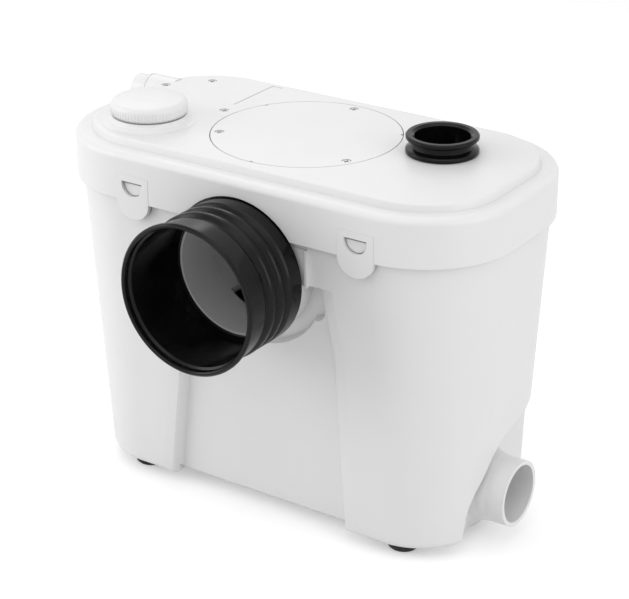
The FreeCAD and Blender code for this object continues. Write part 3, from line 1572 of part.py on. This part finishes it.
def make_pump():
    """The volute with its legs and outlet, and the suction plate below."""
    casing = disc("casing", d.volute_radius, d.volute_bottom, d.volute_top)
    place(casing, d.motor_x, 0, 0)
    outlet_start = -20
    run = 80
    outlet = rod("outlet_boss", d.riser_radius + 3, run, (outlet_start, d.riser_y, d.riser_foot), LEFT)
    flange = disc("casing_flange", d.volute_flange_radius, d.volute_top - d.volute_flange, d.volute_top)
    place(flange, d.motor_x, 0, 0)
    pieces = [casing, flange, outlet]
    leg_low = d.base_height + d.wall
    for x, y in round_the(d.motor_x, 0, d.leg_circle, (40, 140, 220, 320)):
        pieces.append(rod("leg", d.leg_radius, d.volute_top - leg_low, (x, y, leg_low)))
    solid = fuse("volute_solid", pieces)
    chamber = disc("chamber", d.volute_chamber, d.volute_bottom - 1, d.volute_top - d.volute_roof)
    place(chamber, d.motor_x, 0, 0)
    tools = [
        chamber,
        rod("volute_shaft_hole", d.shaft_radius + 0.6, 40, (d.motor_x, 0, d.volute_top - 20)),
        rod("outlet_bore", d.riser_bore, run + 5, (outlet_start, d.riser_y, d.riser_foot), LEFT),
        rod("outlet_socket", d.riser_radius, 12, (-100, d.riser_y, d.riser_foot), RIGHT),
    ]
    plate_low = d.volute_bottom - d.suction_thickness
    plate_room = disc("plate_room", d.volute_radius + 0.2, plate_low - 1, d.volute_bottom)
    place(plate_room, d.motor_x, 0, 0)
    tools.append(plate_room)
    places = round_the(d.motor_x, 0, d.volute_chamber + 3, (0, 90, 180, 270))
    tools.append(bolt_holes("volute_screw_holes", d.screw_shank_radius, d.volute_bottom - 1, 12, places))
    keep(cut("Volute", solid, fuse("volute_tools", tools)), "pump_volute")
    plate = ring("plate_form", d.volute_radius, d.eye_radius, plate_low, d.volute_bottom)
    place(plate, d.motor_x, 0, 0)
    holes = bolt_holes("plate_holes", d.screw_shank_radius, plate_low - 1, 10, places)
    keep(cut("SuctionPlate", plate, holes), "suction_plate")
    screws = [screw(f"plate_screw_{i}", x, y, plate_low, 12, -1) for i, (x, y) in enumerate(places)]
    keep(group("PlateScrews", screws), "suction_plate_screws")


def make_electrics():
    """Run capacitor and terminal block above the motor."""
    shield_top = d.shield_bottom + d.shield_thickness
    radius = (cover_bottom - shield_top) / 2 - 0.5
    half = 25
    can = rod("Capacitor", radius, half * 2, (d.motor_x - half, 20, shield_top + radius), RIGHT)
    keep(can, "run_capacitor")
    low = (d.motor_x - 15, -30, shield_top)
    box = block("terminal_form", low, (d.motor_x + 15, -16, shield_top + 13))
    holes = []
    for offset in (-9, 0, 9):
        holes.append(rod("terminal_hole", 2, 20, (d.motor_x + offset, -23, shield_top + 5)))
    keep(cut("Terminals", box, fuse("terminal_holes", holes)), "terminal_block")


# Level switch


def at_switch(thing, label):
    """Stands a piece on the level switch's line and keeps it."""
    place(thing, d.switch_x, d.switch_y, 0)
    return keep(thing, label)


def make_level_switch():
    """The pressure switch on the lid, with its dip tube below."""
    floor_top = d.switch_bottom + 5
    inner = d.switch_radius - 2.5
    at_switch(turned("SwitchHousing", [
        (d.dip_radius, d.switch_bottom),
        (d.switch_radius, d.switch_bottom),
        (d.switch_radius, lid_under_top),
        (inner, lid_under_top),
        (inner, floor_top),
        (d.dip_radius + 2, floor_top),
        (d.dip_radius + 2, d.switch_bottom + 3),
        (d.dip_radius, d.switch_bottom + 3),
    ]), "switch_housing")
    dip_top = d.switch_bottom + 3
    at_switch(ring("DipTube", d.dip_radius, d.dip_radius - 2, d.dip_bottom, dip_top), "dip_tube")
    diaphragm_top = floor_top + 1.5
    at_switch(disc("Diaphragm", inner, floor_top, diaphragm_top), "switch_diaphragm")
    plunger_low = diaphragm_top + d.clearance
    plunger_radius = 5
    plunger_top = plunger_low + 10
    shoulder = plunger_top - 1.5
    at_switch(turned("Plunger", [
        (0, plunger_low),
        (plunger_radius, plunger_low),
        (plunger_radius, shoulder),
        (1, shoulder),
        (1, plunger_top),
        (0, plunger_top),
    ]), "switch_plunger")
    guide_low = plunger_low + 4
    guide_bore = plunger_radius + d.running_gap
    guide = ring("PlungerGuide", inner, guide_bore, guide_low, guide_low + 2.5)
    at_switch(guide, "plunger_guide")
    pin_x = d.switch_x + 12
    lever_low = plunger_top + d.clearance
    pin_height = lever_low + 0.8
    pin_radius = 1
    low = (d.switch_x - 9, d.switch_y - 3, lever_low)
    bar = block("lever_bar", low, (pin_x, d.switch_y + 3, lever_low + 1.2))
    eye = rod("lever_eye", 2.1, 6, (pin_x, d.switch_y - 3, pin_height), BACK)
    hole = rod("lever_hole", pin_radius + d.running_gap, 12, (pin_x, d.switch_y - 6, pin_height), BACK)
    keep(cut("SwitchLever", fuse("lever_form", [bar, eye]), hole), "switch_lever")
    keep(rod("LeverPin", pin_radius, 12, (pin_x, d.switch_y - 6, pin_height), BACK), "lever_pin")
    switch_low = lever_low + 5
    posts = []
    for offset in (-6, 3.4):
        start = d.switch_y + offset
        low = (pin_x - 2.2, start, guide_low + 2.5)
        posts.append(block("pin_post", low, (pin_x + 2.2, start + 2.6, switch_low)))
    hole = rod("post_hole", pin_radius, 20, (pin_x, d.switch_y - 10, pin_height), BACK)
    low = (d.switch_x - 14, d.switch_y - 6, switch_low)
    case = block("switch_case", low, (pin_x + 2.2, d.switch_y + 6, switch_low + 10))
    keep(cut("Microswitch", fuse("microswitch_form", [case] + posts), hole), "microswitch")


def make_feet():
    """Four rubber feet in shallow seats under the tank."""
    feet = []
    for index, (sx, sy) in enumerate(((-1, -1), (-1, 1), (1, -1), (1, 1))):
        foot = turned(f"foot_{index}", [
            (0, 0), (d.foot_radius - 1.5, 0), (d.foot_radius, 1.5), (d.foot_radius, d.base_height + 1),
            (0, d.base_height + 1),
        ])
        place(foot, d.foot_x * sx, d.foot_y * sy, 0)
        feet.append(foot)
    return keep(group("Feet", feet), "rubber_feet")


def check_and_write():
    """Stops on any failed object, then writes each sub-part."""
    doc.recompute()
    for thing in doc.Objects:
        if "Invalid" in thing.State or "Error" in thing.State:
            raise RuntimeError(f"{thing.Name} ({thing.Label}) failed: {thing.State}")
    os.makedirs("parts", exist_ok=True)
    for thing in kept:
        shape = thing.Shape
        if shape.isNull() or not shape.isValid() or shape.Volume <= 0:
            raise RuntimeError(f"{thing.Label} has no sound solid")
        shape.exportStep(f"parts/{thing.Label}.step")


make_tank()
make_lid()
make_lid_gasket()
keep(make_motor_cover(), "motor_cover_seal")
make_lid_fasteners()
make_vent()
make_pan_sleeve()
make_top_sleeve()
make_side_flap()
make_discharge()
make_motor_housing()
make_stator()
make_rotor()
make_basket()
make_pump()
make_electrics()
make_level_switch()
make_feet()
check_and_write()
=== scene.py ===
import json
import math

import bpy
from mathutils import Matrix, Vector


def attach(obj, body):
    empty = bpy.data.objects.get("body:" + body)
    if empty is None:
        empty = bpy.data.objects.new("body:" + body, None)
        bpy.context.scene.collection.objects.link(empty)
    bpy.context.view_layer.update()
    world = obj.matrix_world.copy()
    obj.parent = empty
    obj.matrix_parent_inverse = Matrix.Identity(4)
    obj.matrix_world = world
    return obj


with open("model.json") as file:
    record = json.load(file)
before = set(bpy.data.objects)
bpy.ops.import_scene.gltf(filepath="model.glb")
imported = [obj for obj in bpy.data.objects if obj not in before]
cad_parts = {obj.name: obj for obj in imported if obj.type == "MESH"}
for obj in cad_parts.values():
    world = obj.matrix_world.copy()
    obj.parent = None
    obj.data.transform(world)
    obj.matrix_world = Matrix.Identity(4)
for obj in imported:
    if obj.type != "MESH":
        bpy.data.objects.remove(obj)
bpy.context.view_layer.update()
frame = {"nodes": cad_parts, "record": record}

# Camera at the photograph's angle, metres, degrees and millimetres of lens
CAMERA_PLACE = Vector((0.7441, -1.06625, 0.7469))
CAMERA_TARGET = Vector((0.0054, 0.03025, 0.1411))
CAMERA_ROLL = -0.3
CAMERA_LENS = 114.2
SENSOR_WIDTH = 36.0
CLIP_NEAR = 0.05
CLIP_FAR = 40.0

# Light levels: the floor's own glow for the camera, and the surround's light on the object
FLOOR_GLOW = 0.36
WORLD_LEVEL = 0.575
LAMPS = {
    "top_box": {"place": (0.2, -0.3, 1.6), "side": 1.6, "watts": 6.4},
    "left_box": {"place": (-0.95, -0.65, 0.55), "side": 0.8, "watts": 5.0},
    "right_box": {"place": (1.6, -0.1, 0.7), "side": 1.2, "watts": 7.4},
    "front_box": {"place": (0.3, -1.5, 1.3), "side": 0.8, "watts": 1.2},
    "back_box": {"place": (-0.9, 0.9, 1.3), "side": 0.9, "watts": 3.0},
}
LAMP_TARGET = (0.0, 0.0, 0.15)
FLOOR_HALF = 6.0
WHITE = (1.0, 1.0, 1.0, 1.0)

# The grip ridges round the vent cap: count, size, how much of the radius is sunk into the cap's side,
# arc steps, and the share of the radius that is left at each end
RIDGE_COUNT = 72
RIDGE_RADIUS = 0.0005
RIDGE_HEIGHT = 0.0062
RIDGE_TOP_GAP = 0.0058
RIDGE_SINK = 0.45
RIDGE_STEPS = 6
RIDGE_TIP = 0.25

# Socket numbers of Blender's Mix node for colours and of its Map Range node
MIX_FACTOR, MIX_FIRST, MIX_SECOND, MIX_RESULT = 0, 6, 7, 2
MAP_VALUE, MAP_LOW, MAP_HIGH, MAP_TO_LOW, MAP_TO_HIGH = range(5)

# Nearly all of a noise texture's values lie between these
NOISE_LOW = 0.3
NOISE_HIGH = 0.7

BEVEL_SAMPLES = 6
CREVICE_SAMPLES = 8
FINE_GRAIN_SQUASH = (1.0, 1.0, 0.06)
SCRATCH_ALONG = (1.0, 0.03, 0.3)
SCRATCH_ACROSS = (0.04, 1.0, 0.25)
# Copper of the winding wire, and a darker copy of it that paints shade into the grooves between the wires
COPPER_PAINTED_SHADE = (0.20, 0.05, 0.015, 1.0)
COPPER_BRIGHT = (0.72, 0.26, 0.09, 1.0)


class Graph:
    """The node tree of one new material or world, with short calls that add and join its nodes."""

    def __init__(self, owner):
        owner.use_nodes = True
        self.owner = owner
        self.tree = owner.node_tree
        self.tree.nodes.clear()
        self.place = self.add("TexCoord").outputs["Object"]

    def add(self, kind, inputs=None, **settings):
        """A new node with its settings, and its sockets set to values or joined to other sockets."""
        node = self.tree.nodes.new("ShaderNode" + kind)
        for name, value in settings.items():
            setattr(node, name, value)
        for name, value in (inputs or {}).items():
            self.feed(node.inputs[name], value)
        return node

    def feed(self, socket, value):
        """Sets a socket to a value, or joins another socket to it."""
        if isinstance(value, bpy.types.NodeSocket):
            self.tree.links.new(value, socket)
        else:
            socket.default_value = value

    def noise(self, scale, detail=2.0, stretch=None, distortion=0.0):
        """Grey noise over the object's own space, 0 to 1. The scale is in waves a metre."""
        place = self.place
        if stretch is not None:
            place = self.add("Mapping", {"Vector": place, "Scale": stretch}).outputs[0]
        made = self.add(
            "TexNoise",
            {"Vector": place, "Scale": scale, "Detail": detail, "Distortion": distortion},
        )
        return made.outputs["Fac"]

    def remap(self, value, low, high, to_low, to_high):
        """Moves a value's range from low..high to a new range and holds it there."""
        made = self.add(
            "MapRange",
            {MAP_VALUE: value, MAP_LOW: low, MAP_HIGH: high, MAP_TO_LOW: to_low, MAP_TO_HIGH: to_high},
            interpolation_type="SMOOTHSTEP",
        )
        return made.outputs[0]

    def spread(self, noise, to_low, to_high):
        """Spreads the main range of a noise over to_low..to_high."""
        return self.remap(noise, NOISE_LOW, NOISE_HIGH, to_low, to_high)

    def mix(self, factor, first, second):
        """Blends two colours."""
        made = self.add(
            "Mix",
            {MIX_FACTOR: factor, MIX_FIRST: first, MIX_SECOND: second},
            data_type="RGBA",
        )
        return made.outputs[MIX_RESULT]

    def math(self, operation, first, second):
        """One sum of Blender's Math node."""
        return self.add("Math", {0: first, 1: second}, operation=operation).outputs[0]

    def wave(self, scale, distortion, detail=2.0, **settings):
        """Grey stripes over the object's own space, 0 to 1."""
        made = self.add(
            "TexWave",
            {"Vector": self.place, "Scale": scale, "Distortion": distortion, "Detail": detail},
            **settings,
        )
        return made.outputs["Fac"]

    def bump(self, height, depth, strength, normal=None):
        """Relief from a grey height. The depth is in metres."""
        inputs = {"Height": height, "Distance": depth, "Strength": strength}
        if normal is not None:
            inputs["Normal"] = normal
        return self.add("Bump", inputs).outputs[0]

    def soft_edges(self, radius):
        """A normal that rounds the sharp edges of the mesh."""
        return self.add("Bevel", {"Radius": radius}, samples=BEVEL_SAMPLES).outputs[0]

    def crevices(self, reach):
        """1 in the open and less in corners and gaps."""
        made = self.add("AmbientOcclusion", {"Distance": reach}, samples=CREVICE_SAMPLES)
        return made.outputs["AO"]

    def background_rays(self):
        """1 for the rays that see the white background: camera, glossy and transmission rays."""
        rays = self.add("LightPath").outputs
        reached = rays["Is Camera Ray"]
        for name in ("Is Glossy Ray", "Is Transmission Ray"):
            reached = self.math("MAXIMUM", reached, rays[name])
        return reached

    def surface(self, colour, roughness, normal, **sockets):
        """Joins the surface shader to the output, and returns the material."""
        inputs = {"Base Color": colour, "Roughness": roughness, "Normal": normal}
        for name, value in sockets.items():
            inputs[name.replace("_", " ")] = value
        return self.output(self.add("BsdfPrincipled", inputs))

    def output(self, shader):
        """Joins a shader to the output, and returns the material or world."""
        kind = "OutputWorld" if isinstance(self.owner, bpy.types.World) else "OutputMaterial"
        self.add(kind, {"Surface": shader.outputs[0]})
        return self.owner


def material_graph(name):
    """The empty node tree of a new material."""
    return Graph(bpy.data.materials.new(name))


def grey(level, warmth=0.0):
    """A near neutral colour. Warmth moves it from blue to yellow."""
    return (level * (1 + warmth), level, level * (1 - warmth), 1.0)


def scratches(graph, count, amount):
    """Fine straight scratches that run two ways: 0 on the plain surface, up to amount on them."""
    along = graph.noise(count, detail=1.0, stretch=SCRATCH_ALONG)
    across = graph.noise(count, detail=1.0, stretch=SCRATCH_ACROSS)
    patches = graph.remap(graph.noise(14.0), low=0.5, high=0.68, to_low=0.0, to_high=1.0)
    lines = graph.math(
        "MAXIMUM",
        graph.remap(along, low=0.66, high=0.72, to_low=0.0, to_high=amount),
        graph.remap(across, low=0.67, high=0.73, to_low=0.0, to_high=amount),
    )
    return graph.math("MULTIPLY", lines, patches)


def moulded_plastic(name, level, warmth, rough, crevice_shade):
    """Moulded plastic: fine spark grain, slow sink waves, painted shade that darkens the gaps and corners,
    light scuffs.
    """
    graph = material_graph(name)
    cloud = graph.spread(graph.noise(9.0, detail=4.0), to_low=0.0, to_high=1.0)
    unshaded_colour = graph.mix(cloud, grey(level * 0.985, warmth), grey(level, warmth))
    # Painted shade: the colour is darkened towards a dimmer grey in gaps, corners and under parts, where
    # the surround's light is blocked.
    open_air = graph.crevices(reach=0.010)
    painted_shade = graph.remap(open_air, low=0.25, high=0.85, to_low=crevice_shade, to_high=0.0)
    colour = graph.mix(painted_shade, unshaded_colour, grey(level * 0.62, warmth + 0.02))
    marks = scratches(graph, count=420.0, amount=0.12)
    uneven = graph.spread(graph.noise(46.0, detail=5.0), to_low=rough - 0.035, to_high=rough + 0.045)
    roughness = graph.math("ADD", uneven, marks)
    sink_waves = graph.noise(11.0, detail=1.0)
    spark_grain = graph.noise(1500.0, detail=2.0)
    normal = graph.soft_edges(radius=0.0005)
    normal = graph.bump(sink_waves, depth=0.0012, strength=0.10, normal=normal)
    normal = graph.bump(spark_grain, depth=0.00006, strength=0.35, normal=normal)
    return graph.surface(colour, roughness, normal, IOR=1.46)


def rubber(name, level, rough, bloom):
    """Moulded rubber: fine grain, uneven sheen and a pale bloom in patches and specks."""
    graph = material_graph(name)
    blotches = graph.noise(24.0, detail=6.0, distortion=0.6)
    patches = graph.remap(blotches, low=0.46, high=0.74, to_low=0.0, to_high=bloom)
    specks = graph.remap(graph.noise(1100.0, detail=1.0), low=0.68, high=0.76, to_low=0.0, to_high=0.10)
    pale = graph.math("ADD", patches, specks)
    colour = graph.mix(pale, grey(level), grey(level * 4.5, warmth=0.03))
    sheen = graph.noise(70.0, detail=5.0)
    roughness = graph.spread(sheen, to_low=rough - 0.06, to_high=rough + 0.08)
    grain = graph.noise(1300.0, detail=3.0)
    waves = graph.noise(60.0, detail=2.0)
    normal = graph.soft_edges(radius=0.0004)
    normal = graph.bump(grain, depth=0.00008, strength=0.5, normal=normal)
    normal = graph.bump(waves, depth=0.0004, strength=0.12, normal=normal)
    return graph.surface(colour, roughness, normal, Specular_IOR_Level=0.20)


def bright_metal(name, level, warmth, rough, grain):
    """Turned or rolled metal with a fine brushed grain and small dull spots."""
    graph = material_graph(name)
    spots = graph.remap(graph.noise(240.0, detail=4.0), low=0.55, high=0.72, to_low=0.0, to_high=1.0)
    colour = graph.mix(spots, grey(level, warmth), grey(level * 0.72, warmth + 0.03))
    brushed = graph.noise(grain, stretch=FINE_GRAIN_SQUASH)
    roughness = graph.spread(brushed, to_low=rough - 0.06, to_high=rough + 0.10)
    normal = graph.bump(brushed, depth=0.00005, strength=0.4, normal=graph.soft_edges(radius=0.0002))
    return graph.surface(colour, roughness, normal, Metallic=1.0)


def cast_metal(name, level, rough):
    """Sand cast or die cast metal with a pitted skin."""
    graph = material_graph(name)
    cloud = graph.spread(graph.noise(60.0, detail=5.0), to_low=0.0, to_high=1.0)
    colour = graph.mix(cloud, grey(level * 0.8, warmth=0.01), grey(level))
    uneven = graph.noise(180.0, detail=4.0)
    roughness = graph.spread(uneven, to_low=rough - 0.08, to_high=rough + 0.12)
    pits = graph.noise(700.0, detail=4.0)
    normal = graph.bump(pits, depth=0.00025, strength=0.6, normal=graph.soft_edges(radius=0.0005))
    return graph.surface(colour, roughness, normal, Metallic=0.9)


def stacked_sheets(name):
    """The edge of a stack of half millimetre steel sheets."""
    graph = material_graph(name)
    wave = graph.wave(318.0, distortion=0.3, bands_direction="Z")
    colour = graph.mix(wave, grey(0.10, warmth=0.04), grey(0.34, warmth=0.02))
    roughness = graph.spread(graph.noise(300.0, detail=3.0), to_low=0.34, to_high=0.5)
    normal = graph.bump(wave, depth=0.0001, strength=0.7)
    return graph.surface(colour, roughness, normal, Metallic=0.9)


def enamelled_wire(name):
    """Lacquered copper wires, laid round in bundles, with painted shade in the grooves between the wires.
    """
    graph = material_graph(name)
    wave = graph.wave(260.0, distortion=2.5, detail=1.0, wave_type="RINGS", rings_direction="Z")
    # Painted shade: the copper turns darker in the low grooves of the rings, where the relief sinks.
    colour = graph.mix(wave, COPPER_PAINTED_SHADE, COPPER_BRIGHT)
    roughness = graph.spread(graph.noise(200.0, detail=3.0), to_low=0.28, to_high=0.42)
    normal = graph.bump(wave, depth=0.0003, strength=0.8)
    return graph.surface(colour, roughness, normal, Metallic=0.7)


def open_foam(name):
    """Charcoal filter foam with open cells, with painted shade inside the cells."""
    graph = material_graph(name)
    cells = graph.add("TexVoronoi", {"Vector": graph.place, "Scale": 900.0}).outputs["Distance"]
    depth = graph.remap(cells, low=0.1, high=0.7, to_low=0.0, to_high=1.0)
    # Painted shade: the colour is darker at the middle of each cell, where the relief sinks into a pore.
    colour = graph.mix(depth, grey(0.012), grey(0.07, warmth=0.02))
    roughness = graph.spread(graph.noise(500.0), to_low=0.85, to_high=0.98)
    normal = graph.bump(depth, depth=0.0006, strength=0.9)
    return graph.surface(colour, roughness, normal)


FINISHES = {
    "white_plastic": moulded_plastic("white_plastic_moulded", level=0.80, warmth=0.0, rough=0.36, crevice_shade=0.5),
    "grey_plastic": moulded_plastic("grey_plastic_moulded", level=0.33, warmth=0.01, rough=0.44, crevice_shade=0.5),
    "black_rubber": rubber("black_rubber_moulded", level=0.003, rough=0.20, bloom=0.05),
    "foot_rubber": rubber("foot_rubber_moulded", level=0.022, rough=0.62, bloom=0.35),
    "steel": bright_metal("steel_bright", level=0.58, warmth=0.01, rough=0.30, grain=900.0),
    "capacitor_can": bright_metal("capacitor_can_drawn", level=0.66, warmth=0.0, rough=0.38, grain=600.0),
    "cast_aluminium": cast_metal("aluminium_cast", level=0.52, rough=0.48),
    "core_iron": stacked_sheets("core_sheets"),
    "copper_winding": enamelled_wire("winding_wire"),
    "filter_pad": open_foam("filter_foam"),
}


def dress_nodes():
    """Gives each sub-part of the frame the finish of its material slot."""
    for part in frame["record"]["subparts"]:
        mesh = frame["nodes"][part["node"]].data
        mesh.materials.clear()
        mesh.materials.append(FINISHES[part["material_slot"]])


def place_object(name, data):
    """A new object in the scene that shows the given data."""
    made = bpy.data.objects.new(name, data)
    bpy.context.scene.collection.objects.link(made)
    return made


def make_floor():
    """A wide pale floor. To the camera it is near white, and it keeps the object's shadow."""
    graph = material_graph("floor_pale")
    tint = graph.spread(graph.noise(3.0, detail=4.0), to_low=0.98, to_high=1.0)
    colour = graph.mix(tint, grey(0.70), grey(0.78))
    diffuse = graph.add("BsdfPrincipled", {"Base Color": colour, "Roughness": 0.9})
    strength = graph.math("MULTIPLY", graph.background_rays(), FLOOR_GLOW)
    glow = graph.add("Emission", {"Color": WHITE, "Strength": strength})
    both = graph.add("AddShader", {0: diffuse.outputs[0], 1: glow.outputs[0]})

    mesh = bpy.data.meshes.new("floor")
    corners = [(x, y, 0.0) for x, y in (
        (-FLOOR_HALF, -FLOOR_HALF),
        (FLOOR_HALF, -FLOOR_HALF),
        (FLOOR_HALF, FLOOR_HALF),
        (-FLOOR_HALF, FLOOR_HALF),
    )]
    mesh.from_pydata(corners, [], [(0, 1, 2, 3)])
    mesh.materials.append(graph.output(both))
    floor = place_object("floor", mesh)


def make_world():
    """An even pale surround. The camera, and what glossy surfaces show, see it white."""
    graph = Graph(bpy.data.worlds.new("studio"))
    level = graph.remap(graph.background_rays(), low=0.0, high=1.0, to_low=WORLD_LEVEL, to_high=1.0)
    background = graph.add("Background", {"Color": WHITE, "Strength": level})
    bpy.context.scene.world = graph.output(background)


def facing(place, target):
    """The turn that points a lamp or camera at the target."""
    return (Vector(target) - Vector(place)).to_track_quat("-Z", "Y")


def make_lamp(name, place, side, watts):
    """A square soft box that faces the object."""
    lamp = bpy.data.lights.new(name, "AREA")
    lamp.shape = "SQUARE"
    lamp.size = side
    lamp.energy = watts
    holder = place_object(name, lamp)
    holder.location = place
    holder.rotation_euler = facing(place, LAMP_TARGET).to_euler()


def node_corners(name):
    """The low and the high corner of a sub-part's mesh, in metres."""
    points = [vertex.co for vertex in frame["nodes"][name].data.vertices]
    low = Vector([min(point[axis] for point in points) for axis in range(3)])
    high = Vector([max(point[axis] for point in points) for axis in range(3)])
    return low, high


def ridge_mesh(places, foot, top):
    """Upright half round ridges with domed ends, one at each place with its outward angle."""
    levels = [
        (foot, RIDGE_TIP),
        (foot + RIDGE_RADIUS, 1.0),
        (top - RIDGE_RADIUS, 1.0),
        (top, RIDGE_TIP),
    ]
    points = []
    faces = []
    for x, y, angle in places:
        start = len(points)
        for height, share in levels:
            for step in range(RIDGE_STEPS + 1):
                turn = angle - math.pi / 2 + math.pi * step / RIDGE_STEPS
                reach = RIDGE_RADIUS * share
                points.append((x + reach * math.cos(turn), y + reach * math.sin(turn), height))
        row = RIDGE_STEPS + 1
        for level in range(len(levels) - 1):
            for step in range(RIDGE_STEPS):
                first = start + level * row + step
                faces.append((first, first + 1, first + 1 + row, first + row))
    mesh = bpy.data.meshes.new("ridges")
    mesh.from_pydata(points, [], faces)
    mesh.shade_smooth()
    return mesh


def make_vent_ridges():
    """The fine grip ridges round the side of the vent cap, which turn with it."""
    low, high = node_corners("vent_cap")
    middle = (low + high) / 2
    reach = (high.x - low.x) / 2 - RIDGE_RADIUS * RIDGE_SINK
    places = []
    for index in range(RIDGE_COUNT):
        angle = 2 * math.pi * index / RIDGE_COUNT
        places.append((middle.x + reach * math.cos(angle), middle.y + reach * math.sin(angle), angle))
    foot = high.z - RIDGE_TOP_GAP - RIDGE_HEIGHT
    mesh = ridge_mesh(places, foot, foot + RIDGE_HEIGHT)
    mesh.materials.append(FINISHES["white_plastic"])
    ridges = place_object("vent_cap_ridges", mesh)
    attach(ridges, "vent_cap")


def make_camera():
    """The camera at the photograph's place, with its small roll about its own axis."""
    data = bpy.data.cameras.new("camera")
    data.sensor_width = SENSOR_WIDTH
    data.lens = CAMERA_LENS
    data.clip_start = CLIP_NEAR
    data.clip_end = CLIP_FAR
    camera = place_object("camera", data)
    camera.location = CAMERA_PLACE
    aim = facing(CAMERA_PLACE, CAMERA_TARGET).to_matrix().to_4x4()
    camera.rotation_euler = (aim @ Matrix.Rotation(math.radians(CAMERA_ROLL), 4, "Z")).to_euler()
    bpy.context.scene.camera = camera


dress_nodes()
make_vent_ridges()
make_floor()
make_world()
for lamp_name, lamp in LAMPS.items():
    make_lamp(lamp_name, **lamp)
make_camera()
bpy.context.scene.view_settings.view_transform = "Standard"
